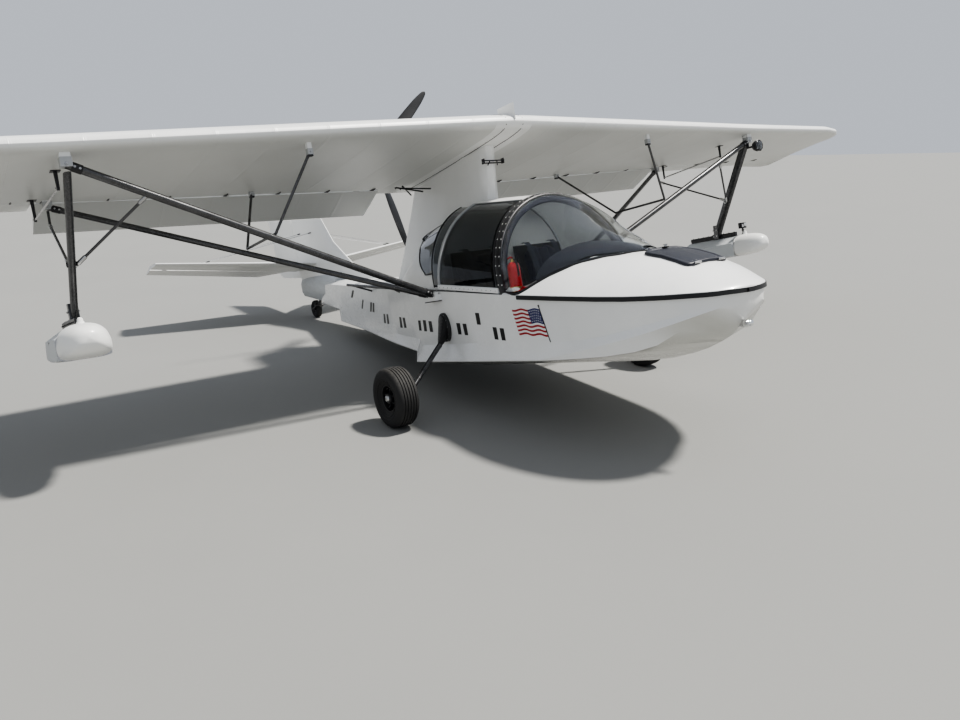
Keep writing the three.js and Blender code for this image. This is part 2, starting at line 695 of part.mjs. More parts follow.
const frontStrut = (grow) => bar(FRONT_FOOT, FRONT_TOP, LIFT_STRUT_RADIUS + grow);
const rearStrut = (grow) => bar(REAR_FOOT, REAR_TOP, LIFT_STRUT_RADIUS - 3 + grow);
const onBar = (a, b, t) => a.map((value, k) => lerp(value, b[k], t));

function buildLiftStruts() {
  const ends = [fittingBlock(FIT), ...wingBrackets(FIT)];
  placePair('lift_strut_front', largestPiece(cut(frontStrut(0), ...ends)), STEEL);
  placePair('lift_strut_rear', largestPiece(cut(rearStrut(0), ...ends, frontStrut(1))), STEEL);
}

function buildJuryStruts() {
  const radius = 9;
  const above = ([x, y, z]) => [x, y, z + LIFT_STRUT_RADIUS + radius + 2];
  const front = above(onBar(FRONT_FOOT, FRONT_TOP, 0.5));
  const rear = above(onBar(REAR_FOOT, REAR_TOP, 0.5));
  const links = [[front, JURY_FRONT_TOP], [rear, JURY_REAR_TOP], [front, rear]];
  const frame = join(...links.map(([from, to]) => bar(from, to, radius, 8)));
  const trimmed = cut(frame, frontStrut(FIT), rearStrut(FIT), ...wingBrackets(FIT));
  placePair('jury_strut', largestPiece(trimmed), STEEL);
}

function largestPiece(geometry) {
  const pieces = toSolid(geometry).decompose();
  const biggest = pieces.reduce((best, piece) => (piece.volume() > best.volume() ? piece : best));
  return toGeometry(biggest);
}

// Wing-tip floats

// station y, half width, ridge z, keel z, share of the body's section, rake of the ring
const FLOAT_STATIONS = [
  [-545, 5, 630, 620, 0, 0],
  [-538, 38, 654, 594, 0, 0],
  [-520, 66, 673, 572, 0, 0],
  [-482, 94, 692, 549, 0, 0],
  [-430, 116, 704, 534, 0, 0],
  [-365, 129, 710, 525, 0, 0],
  [-285, 134, 712, 521, 0, 0],
  [-270, 134, 712, 521, 1, 0],
  [60, 132, 712, 521, 1, 0],
  [290, 112, 712, 540, 1, 0.8],
];
// half sections from the ridge to the keel: share of the half width, share of the height
const NOSE_SECTION = [
  [0.3, 0.98], [0.6, 0.9], [0.84, 0.74], [0.96, 0.53], [1, 0.34], [0.96, 0.16], [0.8, 0.05], [0.4, 0],
];
const BODY_SECTION = [
  [0.24, 0.94], [0.5, 0.84], [0.78, 0.73], [0.94, 0.66], [1, 0.6], [1, 0.12], [0.92, 0.03], [0.5, 0],
];
const FLOAT_STRUT_TOP = [2724, -473, 1468];
const FLOAT_STRUT_FOOT = [FLOAT_X - 16, -32, 740];
const FLOAT_BRACES = [
  { top: [2716, 540, 1360], low: [2757, -185, 1042] },
  { top: [2360, -478, 1331], low: [2722, -215, 1028] },
  { top: [2712, 552, 1450], low: [2716, 540, 1352] },
];
const RIDGE_RAIL = { halfWidth: 14, front: -235, back: 285, low: 702, high: 747 };

function floatBody(grow) {
  const rings = FLOAT_STATIONS.map(([y, w, ridge, keel, share, rake]) => {
    const half = NOSE_SECTION.map(([u, v], i) => {
      const [across, up] = [lerp(u, BODY_SECTION[i][0], share), lerp(v, BODY_SECTION[i][1], share)];
      return [across * w + grow, lerp(keel - grow, ridge + grow, up)];
    });
    const at = (x, z) => [FLOAT_X + x, y + rake * (ridge - z), z];
    const port = half.map(([x, z]) => at(x, z));
    const starboard = half.map(([x, z]) => at(-x, z)).reverse();
    return [at(0, ridge + grow), ...port, at(0, keel - grow), ...starboard];
  });
  return loft(rings);
}

const ridgeRail = (grow) => box(
  [FLOAT_X - RIDGE_RAIL.halfWidth - grow, RIDGE_RAIL.front, RIDGE_RAIL.low],
  [FLOAT_X + RIDGE_RAIL.halfWidth + grow, RIDGE_RAIL.back, RIDGE_RAIL.high + grow],
);

// A strut of streamlined section, half as wide across the flow as its radius says.
function streamlined(from, to, halfWidth, halfChord) {
  const rings = [from, to].map(([x, y, z]) => angles(0, 2 * Math.PI, 14).slice(0, 14).map((a) => (
    [x + halfWidth * Math.cos(a), y + halfChord * Math.sin(a), z]
  )));
  return loft(rings);
}

function buildFloats() {
  placePair('float', join(floatBody(0), ridgeRail(0)), WHITE);
  const [footX, footY, footZ] = FLOAT_STRUT_FOOT;
  const upright = streamlined(FLOAT_STRUT_FOOT, FLOAT_STRUT_TOP, 20, 46);
  const braces = FLOAT_BRACES.map(({ top, low }) => bar(top, low, 8, 8));
  const collar = box([footX - 26, footY - 34, footZ - 30], [footX + 26, footY + 14, footZ + 95]);
  const knuckle = bar([2716, -212, 1034], [2768, -190, 1034], 14, 10);
  const frame = join(upright, ...braces, collar, knuckle);
  const around = [floatBody(FIT), ridgeRail(FIT), frontStrut(FIT), rearStrut(FIT), ...wingBrackets(FIT)];
  const trimmed = cut(frame, ...around);
  placePair('float_strut', largestPiece(trimmed), STEEL);
}

// Tail

// tail cone stations: y, half width, bottom z, top z
const CONE_STATIONS = [[2250, 120, 700, 962], [2850, 88, 735, 985], [3290, 48, 812, 1003]];

function tailCone(grow) {
  const rings = CONE_STATIONS.map(([station, w, low, high], i) => {
    const y = i === 0 ? station - grow : station;
    const [x, bottom, top] = [w + grow, low - grow, high + grow];
    const [lower, upper] = [lerp(bottom, top, 0.25), lerp(bottom, top, 0.7)];
    const half = [[x * 0.6, bottom], [x, lower], [x, upper], [x * 0.45, top]];
    return [...half.map(([u, z]) => [u, y, z]), ...half.map(([u, z]) => [-u, y, z]).reverse()];
  });
  return loft(rings);
}

// fin and rudder levels: front y and z, back y and z, half thickness
const RUDDER_HINGE = [[0, 3304, 1010], [0, 3352, 1650]];
const finBack = (z) => 3304 + ((z - 1010) * 48) / 640 - HINGE_KNUCKLE - FIT - 0.1;
const FIN_LEVELS = [
  [1500, 780, finBack(950), 950, 30],
  [1640, 850, finBack(990), 990, 30],
  [2055, 1032, finBack(1060), 1060, 30],
  [2397, 1279, finBack(1300), 1300, 26],
  [2605, 1543, finBack(1646), 1646, 18],
];
const RUDDER_LEVELS = [
  [3304, 1012, 3880, 1068, 28],
  [3308, 1062, 3990, 1138, 27],
  [3350, 1646, 4060, 1749, 18],
];

function finRing([frontY, frontZ, backY, backZ, half], section, grow = 0) {
  const at = ([f, t]) => [half * t + grow, lerp(frontY, backY, f), lerp(frontZ, backZ, f)];
  const port = section.map(at);
  const starboard = port.map(([x, y, z]) => [-x, y, z]).reverse();
  return [...port, ...starboard];
}

const FIN_SECTION = [[0, 0.12], [0.04, 0.6], [0.2, 1], [1, 1]];
const RUDDER_SECTION = [[0, 0.9], [0.3, 0.8], [1, 0.1]];

// stabilizer: root and tip as leading edge, hinge and trailing edge points (x, y, z)
const STAB_ROOT = { nose: [12, 2824, 1119], hinge: [12, 3329, 1103] };
const STAB_TIP = { nose: [1512, 3251, 1317], hinge: [1540, 3430, 1296] };
const STAB_HALF_THICK = 24;

function stabRing({ nose, hinge }, half, back) {
  const list = [[0, 0.15], [0.08, 0.7], [0.35, 1], [1, 1]];
  const at = ([f, t], sign) => [
    lerp(nose[0], hinge[0], f),
    lerp(nose[1], hinge[1] - back, f),
    lerp(nose[2], hinge[2], f) + sign * half * t,
  ];
  return [...list.map((p) => at(p, 1)), ...list.slice().reverse().map((p) => at(p, -1))];
}

const ELEVATOR_HINGE = [[90, 3334, 1113], [1540, 3430, 1296]];
const ELEVATOR_DROOP = THREE.MathUtils.degToRad(8);

function buildElevator() {
  const [a, b] = ELEVATOR_HINGE;
  const along = new THREE.Vector3(b[0] - a[0], b[1] - a[1], b[2] - a[2]);
  const span = along.length();
  const gap = HINGE_KNUCKLE + 1;
  const up = 20;
  const section = (chord) => [[gap, -up], [gap, up], [chord, 4], [chord, -4]];
  const stations = [[0, 40], [300, 330], [span - 4, 255]];
  const rings = stations.map(([s, chord]) => section(chord).map(([v, w]) => [s, v, w]));
  const knuckles = [0.12, 0.5, 0.9].map((f) => join(
    bar([f * span - 20, 0, 0], [f * span + 20, 0, 0], HINGE_KNUCKLE, 10),
    box([f * span - 20, 0, -4], [f * span + 20, gap + 6, 4]),
  ));
  const axis = along.clone().normalize();
  const up3 = new THREE.Vector3().crossVectors(axis, new THREE.Vector3(0, 1, 0)).normalize();
  const aft = new THREE.Vector3().crossVectors(up3, axis);
  const frame = new THREE.Matrix4().makeBasis(axis, aft, up3);
  return join(loft(rings), ...knuckles).rotateX(-ELEVATOR_DROOP).applyMatrix4(frame).translate(...a);
}

function buildTail() {
  place('tail_cone', tailCone(0), FABRIC);
  const finBlock = (grow) => loft(FIN_LEVELS.map((row) => finRing(row, FIN_SECTION, grow)));
  const fin = cut(finBlock(0), hullOuter(FIT), tailCone(FIT));
  place('fin', fin, WHITE);
  const behindHinge = ([frontY, ...rest]) => finRing([frontY + HINGE_KNUCKLE + 1, ...rest], RUDDER_SECTION);
  const plate = loft(RUDDER_LEVELS.map(behindHinge));
  const [low, high] = RUDDER_HINGE;
  const knuckles = [0.1, 0.5, 0.9].map((t) => {
    const [from, to] = [onBar(low, high, t - 0.03), onBar(low, high, t + 0.03)];
    const web = box([-4, from[1], from[2]], [4, to[1] + 16, to[2]]);
    return join(bar(from, to, HINGE_KNUCKLE, 10), web);
  });
  place('rudder', join(plate, ...knuckles), WHITE);
  const root = stabRing(STAB_ROOT, STAB_HALF_THICK, HINGE_KNUCKLE + FIT);
  const tip = stabRing(STAB_TIP, STAB_HALF_THICK * 0.6, HINGE_KNUCKLE + FIT);
  const rootSide = box([-200, 2000, 900], [22, 3400, 1400]);
  const rudderSwing = box([-200, 3285, 900], [62, 3400, 1400]);
  placePair('stabilizer', cut(loft([root, tip]), finBlock(FIT), rootSide, rudderSwing), FABRIC);
  placePair('elevator', buildElevator(), FABRIC);
}

// Landing gear

const LEG_TOP = [560, -385, 320];
const LEG_LOW = [1012, WHEEL_Y, WHEEL_Z];
const AXLE_END = WHEEL_X + TYRE_HALF_WIDTH - 12;

const gearLeg = (grow) => join(
  bar(LEG_TOP, LEG_LOW, LEG_RADIUS + grow),
  bar([LEG_LOW[0] - 16, WHEEL_Y, WHEEL_Z], [AXLE_END, WHEEL_Y, WHEEL_Z], AXLE_RADIUS + grow),
);

function gearBoot() {
  const plate = sewn(new THREE.CylinderGeometry(1, 1, 60, 24)).rotateZ(Math.PI / 2).scale(1, 68, 132);
  plate.translate(572, -392, 335);
  const cone = sewn(new THREE.CylinderGeometry(0.62, 1, 48, 20)).rotateZ(-Math.PI / 2).scale(1, 46, 92);
  cone.translate(622, -398, 325);
  return cut(join(plate, cone), hullOuter(FIT), gearLeg(FIT));
}

function tyre(radius, inner, half) {
  const crown = [
    [inner, -half * 0.7], [radius * 0.72, -half * 0.98], [radius * 0.88, -half],
    [radius * 0.97, -half * 0.72], [radius, -half * 0.4],
  ];
  const other = crown.map(([r, y]) => [r, -y]).reverse();
  return lathe([...crown, ...other, crown[0]], 24);
}

function rim(radius, bore, half) {
  const side = [
    [bore, -half * 0.75], [38, -half * 0.75], [42, -half * 0.3],
    [radius - 16, -half * 0.3], [radius - 10, -half * 0.7], [radius, -half * 0.7],
  ];
  const other = side.map(([r, y]) => [r, -y]).reverse();
  return lathe([...side, ...other, side[0]], 24);
}

function buildGear() {
  placePair('gear_leg', cut(gearLeg(0), hullOuter(FIT)), STEEL);
  placePair('gear_boot', largestPiece(gearBoot()), RUBBER);
  const centre = [WHEEL_X, WHEEL_Y, WHEEL_Z];
  placePair('main_tyre', tyre(TYRE_RADIUS, RIM_RADIUS + FIT, TYRE_HALF_WIDTH).translate(...centre), RUBBER);
  placePair('main_rim', rim(RIM_RADIUS, AXLE_RADIUS + FIT, TYRE_HALF_WIDTH).translate(...centre), BLACK);
}

// Tail wheel: a fixed arm under the tail cone, a swivelling fork and the wheel.
// The kingpin stands square to the ground when the aircraft is parked.

function parkingPitch() {
  const [dy, dz] = [TAIL_WHEEL_Y - WHEEL_Y, TAIL_WHEEL_Z - WHEEL_Z];
  return Math.atan2(dz, dy) + Math.asin((TYRE_RADIUS - TAIL_TYRE_RADIUS) / Math.hypot(dy, dz));
}

const PITCH = parkingPitch();
const PIN_UP = [0, Math.sin(PITCH) * -1, Math.cos(PITCH)];
const alongPin = (base, distance) => base.map((value, k) => value + PIN_UP[k] * distance);
const KINGPIN = [0, KINGPIN_Y, 700];

function buildTailWheel() {
  const [low, high] = [alongPin(KINGPIN, -14), alongPin(KINGPIN, 52)];
  const head = bar(alongPin(KINGPIN, -2), alongPin(KINGPIN, 26), 19);
  const stay = bar([0, KINGPIN_Y - 4, 712], [0, KINGPIN_Y - 70, 770], 15, 10);
  const arm = cut(join(head, stay), bar(low, high, 9 + FIT), tailCone(FIT));
  place('tailwheel_arm', largestPiece(arm), STEEL);
  const side = TAIL_TYRE_HALF_WIDTH + 12;
  const cheek = (x) => join(
    bar([x, KINGPIN_Y, 688], [x, TAIL_WHEEL_Y, TAIL_WHEEL_Z], 7, 8),
    bar([x - 4, TAIL_WHEEL_Y, TAIL_WHEEL_Z], [x + 4, TAIL_WHEEL_Y, TAIL_WHEEL_Z], 13, 10),
  );
  const bridge = bar([-side - 6, KINGPIN_Y, 688], [side + 6, KINGPIN_Y, 688], 8, 8);
  const axle = bar([-side, TAIL_WHEEL_Y, TAIL_WHEEL_Z], [side, TAIL_WHEEL_Y, TAIL_WHEEL_Z], 6, 8);
  const pin = join(bar(low, alongPin(KINGPIN, -3), 12), bar(low, alongPin(KINGPIN, 22), 9));
  const fork = join(cheek(side), cheek(-side), bridge, axle, pin);
  place('tailwheel_fork', fork, STEEL);
  const wheel = tyre(TAIL_TYRE_RADIUS, 6 + FIT, TAIL_TYRE_HALF_WIDTH);
  place('tail_wheel', wheel.translate(0, TAIL_WHEEL_Y, TAIL_WHEEL_Z), RUBBER);
}

// Engine above the wing, pusher propeller behind it

const ENGINE_BOX = { low: [-225, 640, 1722], high: [225, 1090, 1960] };
const COWL_BACK = 1195;
// cowl stations: y, half width, bottom z, top z
const COWL_STATIONS = [
  [455, 120, 1760, 1900], [520, 215, 1722, 1968], [640, 300, 1706, 2012], [1092, 298, 1708, 2010],
  [COWL_BACK, 170, 1742, 1948],
];

function cowlBlock(inset, front, back) {
  const rows = COWL_STATIONS.filter(([y]) => y > front && y < back).map(([y]) => y);
  const rings = [front, ...rows, back].map((y) => {
    const [, w, low, high] = interpolate(COWL_STATIONS, y);
    const [x, bottom, top] = [w - inset, low + inset, high - inset];
    const [lower, upper] = [lerp(bottom, top, 0.25), lerp(bottom, top, 0.75)];
    const half = [[x * 0.8, bottom], [x, lower], [x, upper], [x * 0.8, top]];
    return [...half.map(([u, z]) => [u, y, z]), ...half.map(([u, z]) => [-u, y, z]).reverse()];
  });
  return loft(rings);
}

function buildEngine() {
  const block = box(ENGINE_BOX.low, ENGINE_BOX.high);
  const gearbox = bar([0, 1080, PROP_Z], [0, 1170, PROP_Z], 62, 20);
  const shaft = bar([0, 1160, PROP_Z], [0, PROP_Y - 28 - FIT, PROP_Z], 22, 16);
  place('engine', join(block, gearbox, shaft), ENGINE);
  const mountFoot = box([-95, 520, 1400], [95, 1060, ENGINE_BOX.low[2] - FIT]);
  const mount = cut(mountFoot, wingCentre(FIT), centreCutFill());
  place('engine_mount', largestPiece(mount), STEEL);
  const shell = cut(cowlBlock(0, 455, COWL_BACK), cowlBlock(9, 450, COWL_BACK + 5));
  place('engine_cowl', cut(shell, box([-95 - FIT, 520 - FIT, 1600], [95 + FIT, 1060 + FIT, 1730])), WHITE);
}

// Behind the wing centre the mount is an open strut, not a wall down to the pylon.
const centreCutFill = () => box([-200, CENTRE_CUT_Y + 20, 1300], [200, 1300, 1640]);

function bladeGeometry(angle) {
  // radius, half chord, half thickness, blade angle in degrees
  const rows = [
    [60, 40, 20, 60], [200, 62, 11, 42], [430, 66, 8, 26], [680, 56, 6, 18], [PROP_RADIUS, 34, 4, 14],
  ];
  const rings = rows.map(([r, chord, thick, twist]) => {
    const turn = THREE.MathUtils.degToRad(twist);
    const outline = [[-1, 0], [-0.4, 1], [0.4, 1], [1, 0.2], [1, -0.2], [0, -1]];
    return outline.map(([u, v]) => {
      const [c, t] = [u * chord, v * thick];
      return [r, c * Math.sin(turn) + t * Math.cos(turn), c * Math.cos(turn) - t * Math.sin(turn)];
    });
  });
  return loft(rings).rotateY(-angle);
}

function buildPropeller() {
  const hub = bar([0, -28, 0], [0, 34, 0], 68, 20);
  const spinner = bar([0, 30, 0], [0, 62, 0], 34, 16);
  const blades = [0, 1, 2].map((k) => bladeGeometry(PROP_FIRST_BLADE + (k * 2 * Math.PI) / 3));
  place('propeller', join(hub, spinner, ...blades).translate(0, PROP_Y, PROP_Z), BLACK);
}

// Cockpit

const PANEL_Y = -1312;
const FLOOR_TOP = 132;

// hood ahead of the panel: station y, half width, crown z
const HOOD_STATIONS = smoothed([
  [-1775, 62, 648], [-1740, 104, 658], [-1640, 212, 692], [-1540, 306, 716], [-1420, 412, 740],
  [PANEL_Y - FIT, 505, 757],
], 50);
const HOOD_SKIN = 10;

function hoodBlock(shrink) {
  const steps = angles(0, Math.PI, 14);
  const rings = HOOD_STATIONS.map(([y, w, crown], i) => {
    const end = i === 0 ? -shrink : shrink;
    const low = interpolate(HULL_STATIONS, y)[9] - (i === 0 ? 0 : 12);
    const height = crown - low - shrink;
    return steps.map((a) => [(w - shrink) * Math.cos(a), y + end, low + height * Math.sin(a) ** 0.8]);
  });
  return loft(rings);
}

function buildCockpit() {
  const slab = box([-600, -2000, FLOOR_TOP - 14], [600, COCKPIT_BACK - FIT, FLOOR_TOP]);
  const floor = common(slab, hullSpace(FIT));
  place('cockpit_floor', floor, VINYL);
  const side = [[120, 738], [260, 718], [380, 662], [440, 590], [510, 475], [600, 470], [600, 380]];
  const outline = [...side, ...side.map(([x, z]) => [-x, z]).reverse()];
  const plate = loft([PANEL_Y, PANEL_Y + 22].map((y) => outline.map(([x, z]) => [x, y, z])));
  place('instrument_panel', common(plate, hullSpace(FIT)), BLACK);
  const hood = cut(hoodBlock(0), hoodBlock(HOOD_SKIN), deckBlock(FIT, -120), hullOuter(FIT));
  place('glareshield', largestPiece(hood), VINYL);
  const [inner, outer, base] = [45, 488, FLOOR_TOP + FIT];
  const back = [[-520, 200], [-640, 250], [-470, 850], [-425, 850], [-425, base], [-520, base]];
  const seat = join(box([inner, -1010, base], [outer, -520, 262]), prism(back, inner, outer, 'x'));
  placePair('seat', seat, VINYL);
}

// Small fittings

function buildFittings() {
  const bracket = box([-7, -2384, 172], [7, -2300, 198]);
  const roller = bar([-20, -2380, 182], [20, -2380, 182], 20, 14);
  place('bow_ring', largestPiece(cut(join(bracket, roller), hullOuter(FIT))), STEEL);
  const lamp = bar([2700, -650, 1440], [2700, -585, 1440], 50, 18);
  const arm = box([2692, -600, 1436], [2712, -520, 1452]);
  const stalk = join(arm, box([2692, -540, 1436], [2712, -520, 1500]));
  const light = cut(join(lamp, stalk), frontStrut(FIT), ...wingBrackets(FIT));
  place('landing_light', largestPiece(light), STEEL);
}

buildHull();
buildForedeck();
buildBowHatch();
buildRubRail();
buildWindscreen();
buildArch();
buildSlideRails();
buildHatches();
buildRoof();
buildPylon();
buildWing();
buildLiftStruts();
buildJuryStruts();
buildFloats();
buildTail();
buildGear();
buildTailWheel();
buildEngine();
buildPropeller();
buildCockpit();
buildFittings();

// Pitch the aircraft onto its wheels and centre it over the origin.
aircraft.rotation.x = -PITCH;
const parked = new THREE.Group();
parked.add(aircraft);
parked.updateMatrixWorld(true);
const bounds = new THREE.Box3().setFromObject(parked, true);
aircraft.position.set(0, -(bounds.min.y + bounds.max.y) / 2, -bounds.min.z);
parked.updateMatrixWorld(true);

export default parked;
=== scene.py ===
"""Looks of a two-seat amphibious flying boat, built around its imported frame."""
import functools
import math

import bmesh
import bpy
import numpy as np
from mathutils import Matrix, Vector
from mathutils.bvhtree import BVHTree


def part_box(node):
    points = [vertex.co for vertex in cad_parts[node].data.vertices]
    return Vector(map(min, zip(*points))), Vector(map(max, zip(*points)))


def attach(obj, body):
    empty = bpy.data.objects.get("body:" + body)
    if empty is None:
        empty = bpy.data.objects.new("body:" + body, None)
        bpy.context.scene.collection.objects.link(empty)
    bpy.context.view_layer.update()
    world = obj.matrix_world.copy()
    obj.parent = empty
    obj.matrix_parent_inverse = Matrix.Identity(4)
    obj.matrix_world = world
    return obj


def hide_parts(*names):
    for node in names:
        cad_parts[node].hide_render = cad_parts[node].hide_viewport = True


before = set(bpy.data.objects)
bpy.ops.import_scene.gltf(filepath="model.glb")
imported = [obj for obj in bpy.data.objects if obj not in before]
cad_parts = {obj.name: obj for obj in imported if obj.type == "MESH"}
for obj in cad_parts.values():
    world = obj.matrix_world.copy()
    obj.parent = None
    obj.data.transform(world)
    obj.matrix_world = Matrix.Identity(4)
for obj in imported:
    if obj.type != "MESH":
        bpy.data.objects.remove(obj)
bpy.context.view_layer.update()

# Aircraft axes: X to port, Y aft, Z up, in millimetres, as the airframe was drawn before it was parked
MM = 0.001
WHEEL_HUB = Vector((1110, -529, -18))
TAIL_WHEEL_HUB = Vector((0, 3095, 655))
CENTRE, ACROSS, AFT, UP = Vector((0, 0, 0)), Vector((1, 0, 0)), Vector((0, 1, 0)), Vector((0, 0, 1))
SIDES = (("left", "port", 1), ("right", "starboard", -1))

# Camera, in aircraft axes
CAMERA_PLACE = Vector((-3436, -5025, 537.5))
CAMERA_YAW, CAMERA_DOWN, CAMERA_ROLL = (math.radians(angle) for angle in (34.868, 14.6055, -1.937))
FOCAL_PIXELS = 802.94
PICTURE = (960, 720)
SENSOR = 36


def parked_frame():
    """Matrix from aircraft axes in millimetres to the parked frame in metres."""
    main, tail = (sum(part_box(node), CENTRE) / 2 for node in ("main_tyre_left", "tail_wheel"))
    drawn, real = TAIL_WHEEL_HUB - WHEEL_HUB, tail - main
    turn = math.atan2(real.z, real.y) - math.atan2(drawn.z, drawn.y)
    rotate = Matrix.Rotation(turn, 4, "X") @ Matrix.Scale(MM, 4)
    return Matrix.Translation(main - rotate @ WHEEL_HUB) @ rotate


CRAFT = parked_frame()
DRAWN = CRAFT.inverted()
CAMERA_TURN = (Matrix.Rotation(-CAMERA_YAW, 4, "Z")
               @ Matrix.Rotation(math.pi / 2 - CAMERA_DOWN, 4, "X")
               @ Matrix.Rotation(CAMERA_ROLL, 4, "Z"))


# Small helpers

def vec(*parts):
    return Vector(parts)


def lerp(a, b, t):
    return a + (b - a) * t


def steps(start, end, count):
    """Evenly spaced values from start to end, both included."""
    return [lerp(start, end, i / count) for i in range(count + 1)]


def circle(count, start=0.0):
    """Angles evenly spaced round a circle."""
    return [start + 2 * math.pi * i / count for i in range(count)]


def round_x(turn):
    return vec(0, math.cos(turn), math.sin(turn))


def round_y(turn):
    return vec(math.cos(turn), 0, math.sin(turn))


def curve(rows, pieces):
    """Rows of numbers on a smooth curve through the given rows, so many pieces between each two."""
    rows = [np.array(r, float) for r in rows]
    out = []
    for i in range(len(rows) - 1):
        a, b = rows[i], rows[i + 1]
        before, after = rows[max(i - 1, 0)], rows[min(i + 2, len(rows) - 1)]
        for s in range(pieces):
            t = s / pieces
            out.append(0.5 * ((2 * a) + (b - before) * t + (2 * before - 5 * a + 4 * b - after) * t * t
                              + (3 * a - before - 3 * b + after) * t ** 3))
    return out + [rows[-1]]


# Materials

# Of these colours, the last is the olive tint of painted shade and ground reflection on downward faces.
# Of these colours, the second darkens surfaces towards the bottom.
DUST, LOW_DARKENING_TINT, UNDERSIDE_SHADE_TINT = (0.36, 0.33, 0.28), (0.33, 0.30, 0.24), (0.2, 0.195, 0.13)
COAT_ROUGHNESS = 0.08


class Wires:
    """Short names for making and joining the nodes of one material."""

    def __init__(self, name):
        self.made = bpy.data.materials.new(name)
        self.made.use_nodes = True
        self.tree = self.made.node_tree

    def node(self, kind, **settings):
        made = self.tree.nodes.new(kind)
        for key, value in settings.items():
            setattr(made, key, value)
        return made

    def feed(self, node, values):
        """Links or sets a node's inputs by name or number."""
        for key, value in values.items():
            if isinstance(value, bpy.types.NodeSocket):
                self.tree.links.new(value, node.inputs[key])
            else:
                node.inputs[key].default_value = value
        return node

    def math(self, operation, *values):
        return self.feed(self.node("ShaderNodeMath", operation=operation), dict(enumerate(values))).outputs[0]

    def spread(self, value, low, high, start=0.0, end=1.0, smooth=False):
        made = self.node("ShaderNodeMapRange", interpolation_type="SMOOTHSTEP" if smooth else "LINEAR")
        return self.feed(made, dict(enumerate((value, low, high, start, end)))).outputs[0]

    def mix(self, share, a, b):
        return self.feed(self.node("ShaderNodeMix", data_type="RGBA"), {0: share, 6: a, 7: b}).outputs[2]

    def place(self, stretch=(1, 1, 1)):
        vector = self.node("ShaderNodeTexCoord").outputs["Object"]
        return self.feed(self.node("ShaderNodeMapping"), {"Vector": vector, "Scale": stretch}).outputs[0]

    def noise(self, place, scale, detail=3.0, rough=0.5):
        values = {"Vector": place, "Scale": scale, "Detail": detail, "Roughness": rough}
        return self.feed(self.node("ShaderNodeTexNoise"), values).outputs[0]

    def part(self, vector, axis=2):
        return self.feed(self.node("ShaderNodeSeparateXYZ"), {0: vector}).outputs[axis]

    def geometry(self, name):
        return self.node("ShaderNodeNewGeometry").outputs[name]


def rgb(color, gain=1.0):
    return tuple(min(1.0, c * gain) for c in color) + (1.0,)


def weave_height(wires, place, pitch, depth):
    """Threads crossing each other, as a height in metres."""
    values = {"Vector": place, "Scale": 1 / pitch, "Distortion": 0.6}
    x, y, z = (wires.feed(wires.node("ShaderNodeTexWave", bands_direction=way), values).outputs[1]
               for way in "XYZ")
    return wires.math("MULTIPLY", wires.math("MAXIMUM", wires.math("MAXIMUM", x, y), z), depth)


def rib_height(wires, axis, pitch):
    """Fabric pulled over ribs that stand a pitch apart along an axis: taped ridges and slack bays."""
    across = wires.math("PINGPONG", wires.part(wires.place(), axis), pitch / 2)
    tape = wires.spread(across, 0.011, 0.016, 0.0004, 0.0, smooth=True)
    cord = wires.spread(across, 0.0, 0.004, 0.0006, 0.0, smooth=True)
    bay = wires.math("POWER", wires.math("DIVIDE", across, pitch / 2), 0.6)
    slack = wires.spread(bay, 0.0, 1.0, 0.0, -0.0022)
    return wires.math("ADD", wires.math("ADD", tape, cord), slack), tape


